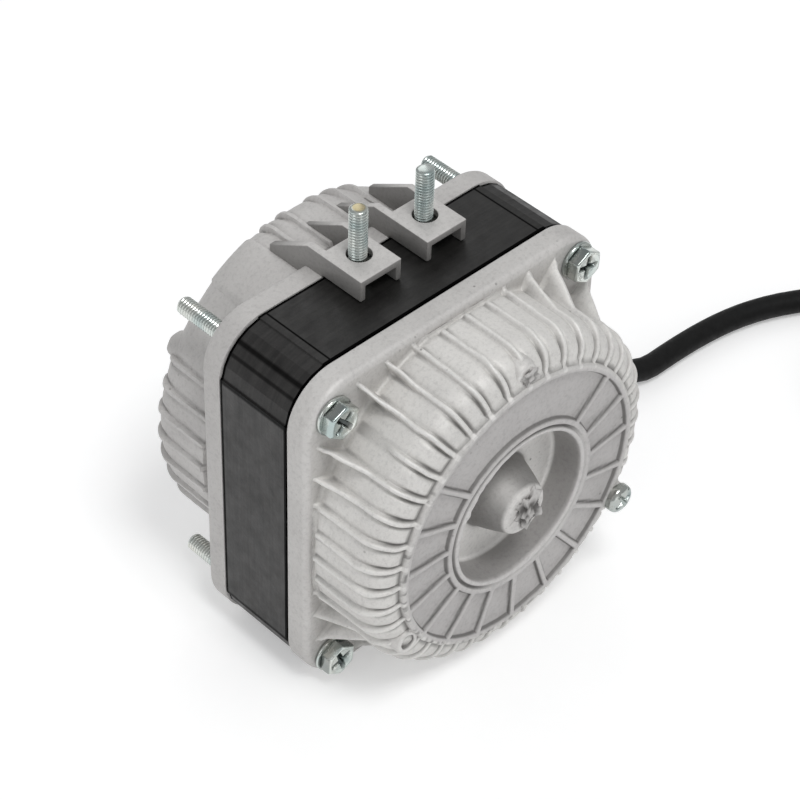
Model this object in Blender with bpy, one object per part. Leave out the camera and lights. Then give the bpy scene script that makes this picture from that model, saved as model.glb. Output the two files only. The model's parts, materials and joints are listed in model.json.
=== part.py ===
# Square shaded-pole fan motor: a laminated stack between two ribbed die-cast end covers.
# Sizes are in millimetres. The shaft lies along y, the rear cover is on the -y side.
# The ground is z = 0, and every piece is drawn about the motor's axis, which lies AXIS_Z above it.
import math

import bmesh
import bpy
from mathutils import Vector

MM = 0.001
GAP = 0.3
RUNNING = 0.08

# Square body
BODY_HALF = 41.5
BODY_CORNER_R = 11.6
AXIS_Z = BODY_HALF
STACK_HALF = 9.6
CORNER_STEP = 0.4
SCREW_AT = BODY_HALF - 6.9

# Bearing seat's radii, the same at both ends
SHAFT_R = 3.0
BUSH_R = SHAFT_R + 3.05
FELT_R = BUSH_R + 2.25
SEAT_BOSS_R = FELT_R + 1.9

# End covers, measured outwards along the axis from the stack's middle
FLANGE_IN = STACK_HALF + GAP
FLANGE_OUT = FLANGE_IN + 5.7
FLANGE_FILLET = 1.2
SKIN_R = BODY_HALF - 1.5
SHOULDER_T = FLANGE_OUT + 11.6
SHOULDER_R = 7.0
RING_R = SKIN_R - 6.1
FACE_T = SHOULDER_T + 8.6
RECESS_R = SEAT_BOSS_R + 8.0
RECESS_FLOOR_T = FACE_T - 7.8
HUMP_R = SEAT_BOSS_R - 1.5
HUMP_TOP_R = HUMP_R - 3.9
HUMP_TOP_T = FACE_T - 0.6
POCKET_IN_R = RECESS_R + 3.0
POCKET_OUT_R = RING_R - 1.7
POCKET_DEPTH = 1.0
POCKET_COUNT = 14
POCKET_RIB = 1.6
PANEL_HALF_ANGLE = 48.5

# Cooling ribs, each in a plane through the axis, angles in degrees from +x towards +z
RIB_R = SKIN_R + 1.2
RIB_SHOULDER_T = SHOULDER_T + 1.3
RIB_SHOULDER_R = SHOULDER_R - 0.6
RIB_WIDTH = 1.3
RIB_ROOT_R = RING_R - 2.9
RIB_PITCH = 9
SHORT_RIB_T = SHOULDER_T - 0.2
FIN_REACH = BODY_HALF - 1.9
FIN_MERGE_T = SHOULDER_T - 2.2
FRONT_TOP_RIBS = (54.0, 70.0, 77.0, 84.0, 96.0, 103.0)
FRONT_PANEL = (109.0, 127.0)

# Cast bosses on the shoulder
BOSS_AT_R = RING_R + 2.3
BOSS_R = 3.0
BOSS_T = FACE_T - 0.4
BOSS_HOLE_R = 1.7
BOSS_HOLE_DEPTH = 5.5
REAR_BOSS_ANGLES = (90.0, 210.0, 330.0)
FRONT_BOSS_ANGLES = (30.0, 150.0, 270.0)

# Feet on the drive end cover
FOOT_CENTRES = (-8.05, 10.45)
FOOT_WIDTH = 11.2
FOOT_WALL = 1.4
FOOT_PLATE = 1.7
FOOT_TOP = BODY_HALF + 5.5
FOOT_FRONT_Y = -1.3
FOOT_BACK_Y = FLANGE_OUT - 1.2
FOOT_GUSSET_Y = FLANGE_OUT + 5.4
FOOT_HOLE_R = 2.7
FOOT_HOLE_SHIFT = 0.4
FOOT_BOLT_Y = 5.5
FOOT_BOLT_RISE = 12.0

# Inside of the covers, and the bearings' places along the axis
CAVITY_R = SKIN_R - 3.7
CAVITY_T = SHOULDER_T - 1.7
CAVITY_SLOPE_T = SHOULDER_T + 1.6
CAVITY_FLOOR_T = FACE_T - 4.4
SEAT_BOSS_T = FACE_T - 18.3
BUSH_IN_T = SEAT_BOSS_T + 1.1
BUSH_OUT_T = BUSH_IN_T + 7.5
FELT_IN_T = SEAT_BOSS_T + 1.9
FELT_OUT_T = FELT_IN_T + 1.3
CLIP_IN_T = SEAT_BOSS_T - 1.2
CLIP_OUT_T = CLIP_IN_T + 0.8

# Rotor and stator
SHAFT_END_Y = FACE_T + 12.2
WINDOW_HALF = CAVITY_R - 3.3
WINDOW_CORNER = WINDOW_HALF - 11.0
ROTOR_R = WINDOW_HALF - 12.3
CAGE_BAR_AT = ROTOR_R - 2.8
CAGE_BAR_R = 1.5
CAGE_BARS = 12
CAGE_RING_T = STACK_HALF + 4.4
CAGE_RING_IN_R = ROTOR_R - 6.7
BORE_R = ROTOR_R + GAP
NECK_HALF = 6.5
SHOE_OUT_R = BORE_R + 3.5
SHOE_HALF_ANGLE = 33.0
SHADE_ANGLE = 25.0
SHADE_BAR = 1.2
SHADE_U = BORE_R + 0.6
SHADE_INNER_HALF = SHADE_U * 0.162
SHADE_SLOT_R = BORE_R + 2.6
BOBBIN_REACH = 6.2
BOBBIN_WALL = 1.0
WINDING_REACH = BOBBIN_REACH - 1.6

# Screws
SCREW_R = 2.0
SCREW_HOLE_R = SCREW_R + GAP
SCREW_TIP_Y = FLANGE_OUT + 13.25
HEX_R = 3.9
HEAD_WASHER_R = 4.35
HEAD_WASHER = 0.9
HEAD_HEIGHT = 3.6
CROSS_LONG = 4.2
CROSS_WIDE = 0.9
CROSS_DEEP = 1.6
EARTH_R = 1.4
EARTH_HEAD_R = 3.4
EARTH_HEAD = 2.6

# Supply cable and its entry in the drive end cover
CABLE_R = 2.9
CABLE_Y = FLANGE_OUT + 6.2
CABLE_Z = 16.0 - BODY_HALF
GROMMET_R = CABLE_R + 1.0
GROMMET_FLANGE_R = GROMMET_R + 1.7
CABLE_BOSS_R = GROMMET_R + 2.3
CABLE_BOSS_X = BODY_HALF - 1.0
GROMMET_IN_X = CABLE_BOSS_X - 6.5
GROMMET_END_X = CABLE_BOSS_X + 6.0
CABLE_IN_X = GROMMET_IN_X - 4.0
CABLE_LANDING = (BODY_HALF + 46.0, 0.7)
CABLE_STEP = 7.5
CABLE_HEADINGS = (-0.02, -0.06, -0.13, -0.23, -0.36, -0.49, -0.55, -0.60)
COIL_TURNS = 2
COIL_MEAN_R = 31.0
COIL_HALF_WIDTH = COIL_TURNS * CABLE_R
COIL_CENTRE = (BODY_HALF + 97.0, -55.9)
CORE_R = 1.1
CORE_LENGTH = 24.0
CORE_AT = 80.0
CORE_STEP = 8.0
CORE_INWARD = 55.0
CORE_SPREAD = 14.0

COLOURS = {
    "cast_aluminium": ((0.52, 0.51, 0.49), 0.45, 0.9),
    "lamination": ((0.06, 0.06, 0.06), 0.55, 0.3),
    "zinc": ((0.66, 0.70, 0.68), 0.28, 1.0),
    "bobbin_nylon": ((0.80, 0.79, 0.73), 0.5, 0.0),
    "winding_copper": ((0.55, 0.24, 0.09), 0.35, 0.8),
    "shading_copper": ((0.62, 0.31, 0.16), 0.35, 1.0),
    "rotor_steel": ((0.30, 0.30, 0.31), 0.45, 0.9),
    "cage_aluminium": ((0.68, 0.68, 0.68), 0.4, 1.0),
    "shaft_steel": ((0.60, 0.61, 0.62), 0.25, 1.0),
    "bush_bronze": ((0.45, 0.30, 0.15), 0.5, 0.9),
    "felt": ((0.72, 0.70, 0.64), 0.95, 0.0),
    "spring_steel": ((0.35, 0.35, 0.36), 0.35, 1.0),
    "cable_rubber": ((0.012, 0.012, 0.011), 0.6, 0.0),
    "core_brown": ((0.12, 0.05, 0.02), 0.5, 0.0),
    "core_blue": ((0.02, 0.09, 0.35), 0.5, 0.0),
    "core_green": ((0.15, 0.35, 0.05), 0.5, 0.0),
}


def start_clean():
    for old in list(bpy.data.objects):
        bpy.data.objects.remove(old, do_unlink=True)


def material(name):
    found = bpy.data.materials.get(name)
    if found:
        return found
    colour, roughness, metallic = COLOURS[name]
    made = bpy.data.materials.new(name)
    made.use_nodes = True
    shader = made.node_tree.nodes["Principled BSDF"]
    shader.inputs["Base Color"].default_value = (*colour, 1.0)
    shader.inputs["Roughness"].default_value = roughness
    shader.inputs["Metallic"].default_value = metallic
    made.diffuse_color = (*colour, 1.0)
    return made


def new_object(name, points, faces):
    """A closed mesh from points in millimetres about the motor's axis."""
    mesh = bpy.data.meshes.new(name)
    mesh.from_pydata([Vector(p) * MM for p in points], [], faces)
    made = bpy.data.objects.new(name, mesh)
    made.location = (0.0, 0.0, AXIS_Z * MM)
    bpy.context.scene.collection.objects.link(made)
    sheet = bmesh.new()
    sheet.from_mesh(mesh)
    bmesh.ops.recalc_face_normals(sheet, faces=sheet.faces)
    sheet.to_mesh(mesh)
    sheet.free()
    return made


def rings_to_mesh(name, rings, looped):
    """Joins equal closed rings of points; the two end rings are capped unless looped."""
    count = len(rings[0])
    points = [p for ring in rings for p in ring]
    faces = []
    last = len(rings) if looped else len(rings) - 1
    for i in range(last):
        low = i * count
        high = ((i + 1) % len(rings)) * count
        for j in range(count):
            k = (j + 1) % count
            faces.append((low + j, low + k, high + k, high + j))
    if not looped:
        faces.append(tuple(range(count)))
        faces.append(tuple(range((len(rings) - 1) * count, len(rings) * count)))
    return new_object(name, points, faces)


def turned(name, profile, steps, centre=(0.0, 0.0, 0.0), axis="Y"):
    """Turns a closed (radius, distance) profile about an axis through centre."""
    points = []
    rows = []
    for radius, along in profile:
        row = []
        turns = 1 if radius == 0.0 else steps
        for i in range(turns):
            angle = 2.0 * math.pi * i / steps
            u = radius * math.cos(angle)
            v = radius * math.sin(angle)
            if axis == "Y":
                point = (centre[0] + u, centre[1] + along, centre[2] + v)
            elif axis == "X":
                point = (centre[0] + along, centre[1] + u, centre[2] + v)
            else:
                point = (centre[0] + u, centre[1] + v, centre[2] + along)
            row.append(len(points))
            points.append(point)
        rows.append(row)
    faces = []
    for this, after in zip(rows, rows[1:] + rows[:1]):
        for i in range(steps):
            j = (i + 1) % steps
            corners = [row[k % len(row)] for row, k in ((this, i), (this, j), (after, j), (after, i))]
            kept = [c for n, c in enumerate(corners) if c not in corners[:n]]
            if len(kept) > 2:
                faces.append(tuple(kept))
    return new_object(name, points, faces)


def prism(name, outline, low, high, axis="Y"):
    """A straight bar whose outline lies square to the axis: (x, z), (y, z) or (x, y)."""
    place = {
        "Y": lambda a, b, c: (a, c, b),
        "X": lambda a, b, c: (c, a, b),
        "Z": lambda a, b, c: (a, b, c),
    }[axis]
    return rings_to_mesh(name, [[place(a, b, c) for a, b in outline] for c in (low, high)], False)


def box(name, low, high):
    outline = [(low[0], low[2]), (high[0], low[2]), (high[0], high[2]), (low[0], high[2])]
    return prism(name, outline, low[1], high[1])


def gathered(name, pieces):
    """One object from several separate pieces."""
    sheet = bmesh.new()
    for piece in pieces:
        sheet.from_mesh(piece.data)
        bpy.data.objects.remove(piece, do_unlink=True)
    mesh = bpy.data.meshes.new(name)
    sheet.to_mesh(mesh)
    sheet.free()
    made = bpy.data.objects.new(name, mesh)
    made.location = (0.0, 0.0, AXIS_Z * MM)
    bpy.context.scene.collection.objects.link(made)
    return made


def combine(body, tool, operation):
    """Joins or cuts body with tool, and removes tool."""
    step = body.modifiers.new(operation.lower(), "BOOLEAN")
    step.operation = operation
    step.solver = "EXACT"
    step.object = tool
    graph = bpy.context.evaluated_depsgraph_get()
    mesh = bpy.data.meshes.new_from_object(body.evaluated_get(graph))
    body.modifiers.clear()
    body.data = mesh
    bpy.data.objects.remove(tool, do_unlink=True)


def finish(piece, name, material_name, sharp_angle=35.0):
    """Names the piece, gives it its one material, and shades its curves smooth."""
    piece.name = name
    piece.data.name = name
    piece.data.materials.clear()
    piece.data.materials.append(material(material_name))
    sheet = bmesh.new()
    sheet.from_mesh(piece.data)
    bmesh.ops.remove_doubles(sheet, verts=sheet.verts, dist=0.002 * MM)
    bmesh.ops.dissolve_degenerate(sheet, edges=sheet.edges, dist=0.001 * MM)
    for face in sheet.faces:
        face.smooth = True
        face.material_index = 0
    for edge in sheet.edges:
        edge.smooth = len(edge.link_faces) == 2 and edge.calc_face_angle(0.0) < math.radians(sharp_angle)
    sheet.to_mesh(piece.data)
    sheet.free()
    return piece


def arc(centre, radius, start, end, steps):
    """Points on an arc, angles in degrees."""
    points = []
    for i in range(steps + 1):
        angle = math.radians(start + (end - start) * i / steps)
        points.append((centre[0] + radius * math.cos(angle), centre[1] + radius * math.sin(angle)))
    return points


def square_outline(inset):
    """The body's rounded square in x and z, drawn in by inset."""
    at = BODY_HALF - BODY_CORNER_R
    outline = []
    for sx, sz, start in ((1, 1, 0.0), (-1, 1, 90.0), (-1, -1, 180.0), (1, -1, 270.0)):
        outline += arc((sx * at, sz * at), BODY_CORNER_R - inset, start, start + 90.0, 5)
    return outline


def stack_outline():
    """The lamination's outline: its corners lie a small step below the flats."""
    at = BODY_HALF - BODY_CORNER_R
    outline = []
    for sx, sz, start in ((1, 1, 0.0), (-1, 1, 90.0), (-1, -1, 180.0), (1, -1, 270.0)):
        centre = (sx * at, sz * at)
        outline += arc(centre, BODY_CORNER_R, start, start + 6.0, 1)
        outline += arc(centre, BODY_CORNER_R - CORNER_STEP, start + 7.0, start + 83.0, 5)
        outline += arc(centre, BODY_CORNER_R, start + 84.0, start + 90.0, 1)
    return outline


def screw_places():
    return [(x, z) for x in (-SCREW_AT, SCREW_AT) for z in (SCREW_AT, -SCREW_AT)]


def rib_outline(angle, fins):
    """Outline (radius, t) of the rib at an angle; those near the corners run out as fins."""
    across = abs(math.cos(math.radians(angle)))
    up = abs(math.sin(math.radians(angle)))
    tip = FIN_REACH / (across ** 5 + up ** 5) ** 0.2
    outline = [(RIB_ROOT_R, FLANGE_IN + 2.0)]
    if fins and tip > RIB_R:
        outline += [(tip, FLANGE_IN + 2.0), (tip, FLANGE_OUT), (RIB_R, FIN_MERGE_T)]
    else:
        outline.append((RIB_R, FLANGE_IN + 2.0))
    return outline + rib_shoulder()


def rib_shoulder():
    """The rounded end of every rib, down to the face's ring."""
    centre = (RIB_R - RIB_SHOULDER_R, RIB_SHOULDER_T)
    outline = arc(centre, RIB_SHOULDER_R, 0.0, 84.0, 3)
    outline.append((RIB_ROOT_R, outline[-1][1]))
    return outline


def short_rib_outline():
    """A corner rib, which only rises on the shoulder."""
    start_t = SHORT_RIB_T - 3.0
    outline = [(RIB_ROOT_R, start_t), (SKIN_R - 0.5, start_t), (SKIN_R - 0.1, SHORT_RIB_T)]
    return outline + rib_shoulder()


def radial_ring(outline, side, angle, shift):
    """Sets a (radius, t) outline in the plane at an angle, shifted square to that plane."""
    c, s = math.cos(math.radians(angle)), math.sin(math.radians(angle))
    return [(r * c - shift * s, side * t, r * s + shift * c) for r, t in outline]


def rib(outline, side, angle):
    half = RIB_WIDTH / 2.0
    rings = [radial_ring(outline, side, angle, shift) for shift in (-half, half)]
    return rings_to_mesh("rib", rings, False)


def rear_ribs():
    pieces = []
    for angle in range(0, 360, RIB_PITCH):
        outline = short_rib_outline() if angle % 90 == 45 else rib_outline(angle, True)
        pieces.append(rib(outline, -1.0, angle))
    return gathered("ribs", pieces)


def front_ribs():
    """Ribs of the drive end cover, with one wide smooth panel at their height."""
    angles = list(FRONT_TOP_RIBS)
    for middle in (180, 270, 360):
        angles += [middle + RIB_PITCH * step for step in range(-3, 4)]
    outline = rib_outline(0.0, False)
    pieces = [rib(outline, 1.0, angle) for angle in angles]
    low, high = FRONT_PANEL
    rings = [radial_ring(outline, 1.0, low + (high - low) * i / 3.0, 0.0) for i in range(4)]
    pieces.append(rings_to_mesh("panel", rings, False))
    return gathered("ribs", pieces)


def sector(radius_in, radius_out, start, end, low, high, steps):
    """A slice of a ring between two angles, with flat ends along y."""
    outline = arc((0.0, 0.0), radius_out, start, end, steps)
    outline += arc((0.0, 0.0), radius_in, end, start, steps)
    return prism("sector", outline, low, high)


def face_pockets(side):
    """The shallow pockets round the face, and the plain panel at the top."""
    near = side * (FACE_T - POCKET_DEPTH)
    far = side * (FACE_T + 1.0)
    low, high = min(near, far), max(near, far)
    panel = (90.0 - PANEL_HALF_ANGLE, 90.0 + PANEL_HALF_ANGLE)
    pieces = [sector(POCKET_IN_R, POCKET_OUT_R, *panel, low, high, 8)]
    pitch = (360.0 - 2.0 * PANEL_HALF_ANGLE) / POCKET_COUNT
    for i in range(POCKET_COUNT):
        start = 90.0 + PANEL_HALF_ANGLE + i * pitch
        outline = []
        for radius, first, steps in ((POCKET_OUT_R, start, 2), (POCKET_IN_R, start + pitch, 1)):
            half_rib = math.degrees(POCKET_RIB / 2.0 / radius)
            if radius == POCKET_OUT_R:
                outline += arc((0.0, 0.0), radius, start + half_rib, start + pitch - half_rib, steps)
            else:
                outline += arc((0.0, 0.0), radius, start + pitch - half_rib, start + half_rib, steps)
        pieces.append(prism("pocket", outline, low, high))
    return gathered("pockets", pieces)


def cover_profile(open_end):
    """Outer form of a cover as (radius, t), closed through the middle."""
    shoulder_at = SKIN_R - SHOULDER_R
    end_angle = math.degrees(math.acos((RING_R - shoulder_at) / SHOULDER_R))
    profile = [(0.0, FLANGE_IN + 2.0), (SKIN_R, FLANGE_IN + 2.0)]
    profile += arc((shoulder_at, SHOULDER_T), SHOULDER_R, 0.0, end_angle, 4)
    profile += [(RING_R, FACE_T - 0.4), (RING_R - 0.4, FACE_T)]
    profile += [(RECESS_R, FACE_T), (RECESS_R - 0.6, RECESS_FLOOR_T + 0.4)]
    profile += [(RECESS_R - 1.0, RECESS_FLOOR_T), (HUMP_R, RECESS_FLOOR_T)]
    profile += [(HUMP_R - 0.7, RECESS_FLOOR_T + 2.6), (HUMP_R - 2.2, RECESS_FLOOR_T + 5.2)]
    if open_end:
        profile += [(HUMP_TOP_R + 0.4, HUMP_TOP_T), (0.0, HUMP_TOP_T)]
    else:
        profile += [(HUMP_TOP_R, HUMP_TOP_T - 0.4), (HUMP_TOP_R - 2.0, HUMP_TOP_T), (0.0, HUMP_TOP_T)]
    return profile


def cavity_profile(open_end):
    """Inner form of a cover as (radius, t): the coil space and the bearing seat."""
    shaft_room = SHAFT_R + 0.6
    end_t = HUMP_TOP_T + 2.0 if open_end else BUSH_OUT_T + 6.5
    web_t = RECESS_FLOOR_T - 2.4
    profile = [(0.0, FLANGE_IN - 2.0), (CAVITY_R, FLANGE_IN - 2.0), (CAVITY_R - 0.4, CAVITY_T)]
    profile += [(CAVITY_R - 1.6, CAVITY_SLOPE_T), (CAVITY_R - 5.3, CAVITY_FLOOR_T)]
    profile += [(RECESS_R + 2.4, CAVITY_FLOOR_T), (RECESS_R + 2.2, web_t)]
    profile += [(SEAT_BOSS_R, web_t), (SEAT_BOSS_R, SEAT_BOSS_T)]
    profile += [(FELT_R + GAP, SEAT_BOSS_T), (FELT_R + GAP, FELT_OUT_T + GAP)]
    profile += [(BUSH_R + GAP, FELT_OUT_T + GAP), (BUSH_R + GAP, BUSH_OUT_T + GAP)]
    profile += [(shaft_room, BUSH_OUT_T + GAP), (shaft_room, end_t), (0.0, end_t)]
    return profile


def flange(side):
    """The square flange with its rounded outer edge."""
    steps = ((FLANGE_IN, 0.0), (FLANGE_OUT - FLANGE_FILLET, 0.0), (FLANGE_OUT - 0.35, 0.35),
             (FLANGE_OUT, FLANGE_FILLET))
    rings = []
    for t, inset in steps:
        rings.append([(x, side * t, z) for x, z in square_outline(inset)])
    return rings_to_mesh("flange", rings, False)


def boss_place(angle):
    return (BOSS_AT_R * math.cos(math.radians(angle)), BOSS_AT_R * math.sin(math.radians(angle)))


def end_cover(side, open_end, boss_angles):
    """Body of either cover before its own features: side is -1 at the rear, 1 at the drive end."""
    body = turned("dome", [(r, side * t) for r, t in cover_profile(open_end)], 36)
    combine(body, flange(side), "UNION")
    bosses = []
    for angle in boss_angles:
        x, z = boss_place(angle)
        foot = side * (SHOULDER_T - 3.2)
        profile = [(0.0, foot), (BOSS_R, foot), (BOSS_R, side * (BOSS_T - 0.4))]
        profile += [(BOSS_R - 0.4, side * BOSS_T), (0.0, side * BOSS_T)]
        bosses.append(turned("boss", profile, 12, (x, 0.0, z)))
    combine(body, gathered("bosses", bosses), "UNION")
    return body


def straight_hole(radius, low, high, steps, centre, axis="Y"):
    """A plain round cutter between two places along its axis."""
    profile = [(0.0, low), (radius, low), (radius, high), (0.0, high)]
    return turned("hole", profile, steps, centre, axis)


def cut_cover(body, side, open_end, boss_angles):
    """Hollows a cover and cuts its holes."""
    cavity = [(r, side * t) for r, t in cavity_profile(open_end)]
    combine(body, turned("cavity", cavity, 24), "DIFFERENCE")
    holes = []
    for x, z in screw_places():
        low, high = side * (FLANGE_IN - 4.9), side * (FLANGE_OUT + 9.4)
        holes.append(straight_hole(SCREW_HOLE_R, low, high, 10, (x, 0.0, z)))
    for angle in boss_angles:
        x, z = boss_place(angle)
        low, high = side * (BOSS_T - BOSS_HOLE_DEPTH), side * (BOSS_T + 2.0)
        holes.append(straight_hole(BOSS_HOLE_R, low, high, 8, (x, 0.0, z)))
    combine(body, gathered("holes", holes), "DIFFERENCE")
    combine(body, face_pockets(side), "DIFFERENCE")


def make_rear_cover():
    body = end_cover(-1.0, False, REAR_BOSS_ANGLES)
    combine(body, rear_ribs(), "UNION")
    cut_cover(body, -1.0, False, REAR_BOSS_ANGLES)
    finish(body, "rear_cover", "cast_aluminium")


def foot_block(centre):
    half = FOOT_WIDTH / 2.0
    base = BODY_HALF + GAP
    root = BODY_HALF - 5.5
    outline = [(FOOT_FRONT_Y, base), (FOOT_FRONT_Y, FOOT_TOP - 0.3), (FOOT_FRONT_Y + 0.3, FOOT_TOP)]
    outline += [(FOOT_BACK_Y, FOOT_TOP), (FOOT_GUSSET_Y, root + 2.0), (FOOT_GUSSET_Y, root)]
    outline += [(FLANGE_IN, root), (FLANGE_IN, base)]
    return prism("foot", outline, centre - half, centre + half, "X")


def make_drive_end_cover():
    body = end_cover(1.0, True, FRONT_BOSS_ANGLES)
    combine(body, front_ribs(), "UNION")
    combine(body, gathered("feet", [foot_block(x) for x in FOOT_CENTRES]), "UNION")
    entry = (0.0, CABLE_Y, CABLE_Z)
    combine(body, straight_hole(CABLE_BOSS_R, CABLE_BOSS_X - 14.3, CABLE_BOSS_X, 16, entry, "X"), "UNION")
    cut_cover(body, 1.0, True, FRONT_BOSS_ANGLES)
    cuts = []
    for x in FOOT_CENTRES:
        inner = FOOT_WIDTH / 2.0 - FOOT_WALL
        cuts.append(box("channel", (x - inner, FOOT_FRONT_Y - 1.0, BODY_HALF - 1.0),
                        (x + inner, FLANGE_IN - 0.2, FOOT_TOP - FOOT_PLATE)))
    entry_ends = (CABLE_BOSS_X - 20.5, CABLE_BOSS_X + 4.5)
    cuts.append(straight_hole(GROMMET_R + GAP, *entry_ends, 16, entry, "X"))
    combine(body, gathered("cuts", cuts), "DIFFERENCE")
    bolt_holes = []
    for x in FOOT_CENTRES:
        low, high = FOOT_TOP - FOOT_PLATE - 1.0, FOOT_TOP + 1.0
        place = (x + FOOT_HOLE_SHIFT, FOOT_BOLT_Y, 0.0)
        bolt_holes.append(straight_hole(FOOT_HOLE_R, low, high, 16, place, "Z"))
    combine(body, gathered("bolt_holes", bolt_holes), "DIFFERENCE")
    finish(body, "drive_end_cover", "cast_aluminium")


def turn_points(points, angle):
    c, s = math.cos(math.radians(angle)), math.sin(math.radians(angle))
    return [(x * c - z * s, x * s + z * c) for x, z in points]


def pole_outline():
    """Hole outline beside one pole that points to +x, from one window corner to the next."""
    def polar(radius, degrees):
        return (radius * math.cos(math.radians(degrees)), radius * math.sin(math.radians(degrees)))

    neck_u = math.sqrt(SHOE_OUT_R ** 2 - NECK_HALF ** 2)
    neck_angle = math.degrees(math.asin(NECK_HALF / SHOE_OUT_R))
    bar_out = math.degrees(math.atan((SHADE_INNER_HALF + SHADE_BAR + GAP) / SHADE_U))
    bar_in = math.degrees(math.atan((SHADE_INNER_HALF - GAP) / (SHADE_U + SHADE_BAR)))
    slot_low, slot_high = SHADE_ANGLE - bar_out, SHADE_ANGLE - bar_in
    points = [(WINDOW_HALF, -WINDOW_CORNER), (WINDOW_HALF, -NECK_HALF), (neck_u, -NECK_HALF)]
    points += [polar(SHOE_OUT_R, -(neck_angle + SHOE_HALF_ANGLE) / 2.0)]
    points += [polar(SHOE_OUT_R, -SHOE_HALF_ANGLE)]
    points += arc((0.0, 0.0), BORE_R, -SHOE_HALF_ANGLE, slot_low, 5)
    points += [polar(SHADE_SLOT_R, slot_low), polar(SHADE_SLOT_R, slot_high)]
    points += arc((0.0, 0.0), BORE_R, slot_high, SHOE_HALF_ANGLE, 2)
    points += [polar(SHOE_OUT_R, SHOE_HALF_ANGLE), polar(SHOE_OUT_R, (neck_angle + SHOE_HALF_ANGLE) / 2.0)]
    points += [(neck_u, NECK_HALF), (WINDOW_HALF, NECK_HALF), (WINDOW_HALF, WINDOW_CORNER)]
    return points


def make_stator():
    body = prism("stack", stack_outline(), -STACK_HALF, STACK_HALF)
    window = []
    for quarter in range(4):
        window += turn_points(pole_outline(), 90.0 * quarter)
    reach = STACK_HALF + 1.0
    combine(body, prism("window", window, -reach, reach), "DIFFERENCE")
    holes = [straight_hole(SCREW_HOLE_R, -reach, reach, 10, (x, 0.0, z)) for x, z in screw_places()]
    combine(body, gathered("holes", holes), "DIFFERENCE")
    finish(body, "stator_stack", "lamination")


def loop_about_pole(name, profile, half_v, half_y, angle, corner_steps):
    """A closed loop round a radial axis.

    The profile holds (distance from the motor's axis, outward offset).
    """
    rings = []
    for u, offset in profile:
        ring = []
        for sv, sy, start in ((1, 1, 0.0), (-1, 1, 90.0), (-1, -1, 180.0), (1, -1, 270.0)):
            centre = (sv * half_v, sy * half_y)
            if corner_steps:
                ring += arc(centre, offset, start, start + 90.0, corner_steps)
            else:
                ring.append((centre[0] + sv * offset, centre[1] + sy * offset))
        (x0, z0), (xv, zv) = turn_points([(u, 0.0), (0.0, 1.0)], angle)
        rings.append([(x0 + xv * v, y, z0 + zv * v) for v, y in ring])
    return rings_to_mesh(name, rings, True)


def make_coils():
    low = SHOE_OUT_R + GAP
    high = WINDOW_HALF - GAP
    wall = BOBBIN_WALL
    bobbin = [(low, 0.0), (low, BOBBIN_REACH), (low + wall, BOBBIN_REACH), (low + wall, wall),
              (high - wall, wall), (high - wall, BOBBIN_REACH), (high, BOBBIN_REACH), (high, 0.0)]
    side = wall + GAP
    wound = [(low + side, GAP), (low + side, WINDING_REACH - 0.6), (low + side + 0.6, WINDING_REACH),
             (high - side - 0.6, WINDING_REACH), (high - side, WINDING_REACH - 0.6), (high - side, GAP)]
    bar_end = SHADE_U + SHADE_BAR
    bar = [(SHADE_U, 0.0), (SHADE_U, SHADE_BAR), (bar_end, SHADE_BAR), (bar_end, 0.0)]
    half_v = NECK_HALF + GAP
    half_y = STACK_HALF + GAP
    for quarter in range(4):
        angle = 90.0 * quarter
        number = quarter + 1
        former = loop_about_pole("bobbin", bobbin, half_v, half_y, angle, 0)
        finish(former, f"coil_bobbin_{number}", "bobbin_nylon")
        coil = loop_about_pole("coil", wound, half_v + wall, half_y + wall, angle, 2)
        finish(coil, f"coil_winding_{number}", "winding_copper")
        shade = loop_about_pole("shade", bar, SHADE_INNER_HALF, half_y, angle + SHADE_ANGLE, 0)
        finish(shade, f"shading_ring_{number}", "shading_copper")


def cage_bars(radius, half_length):
    pieces = []
    for i in range(CAGE_BARS):
        angle = math.radians(360.0 * i / CAGE_BARS)
        place = (CAGE_BAR_AT * math.cos(angle), 0.0, CAGE_BAR_AT * math.sin(angle))
        pieces.append(straight_hole(radius, -half_length, half_length, 6, place))
    return gathered("bars", pieces)


def tube_ring(inner, outer, near, far, steps):
    """A plain ring between two places along y."""
    return turned("ring", [(inner, near), (outer, near), (outer, far), (inner, far)], steps)


def make_rotor():
    core = tube_ring(SHAFT_R + GAP, ROTOR_R, -STACK_HALF, STACK_HALF, 24)
    combine(core, cage_bars(CAGE_BAR_R + GAP * 1.2, STACK_HALF + 1.0), "DIFFERENCE")
    finish(core, "rotor_core", "rotor_steel")
    cage = cage_bars(CAGE_BAR_R, CAGE_RING_T - 1.0)
    ends = []
    for side in (-1.0, 1.0):
        near, far = side * (STACK_HALF + GAP), side * CAGE_RING_T
        ends.append(tube_ring(CAGE_RING_IN_R, ROTOR_R - GAP, near, far, 24))
    combine(cage, gathered("rings", ends), "UNION")
    finish(cage, "rotor_cage", "cage_aluminium")
    groove = SHAFT_R - 0.4
    end_y = -(BUSH_OUT_T + 2.0)
    profile = [(0.0, end_y), (SHAFT_R - 0.4, end_y), (SHAFT_R, end_y + 0.4)]
    for t in (-CLIP_OUT_T - GAP, CLIP_IN_T - GAP):
        width = CLIP_OUT_T - CLIP_IN_T + 2.0 * GAP
        profile += [(SHAFT_R, t), (groove, t), (groove, t + width), (SHAFT_R, t + width)]
    profile += [(SHAFT_R, SHAFT_END_Y - 0.5), (SHAFT_R - 0.5, SHAFT_END_Y), (0.0, SHAFT_END_Y)]
    finish(turned("shaft", profile, 20), "shaft", "shaft_steel")


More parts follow.
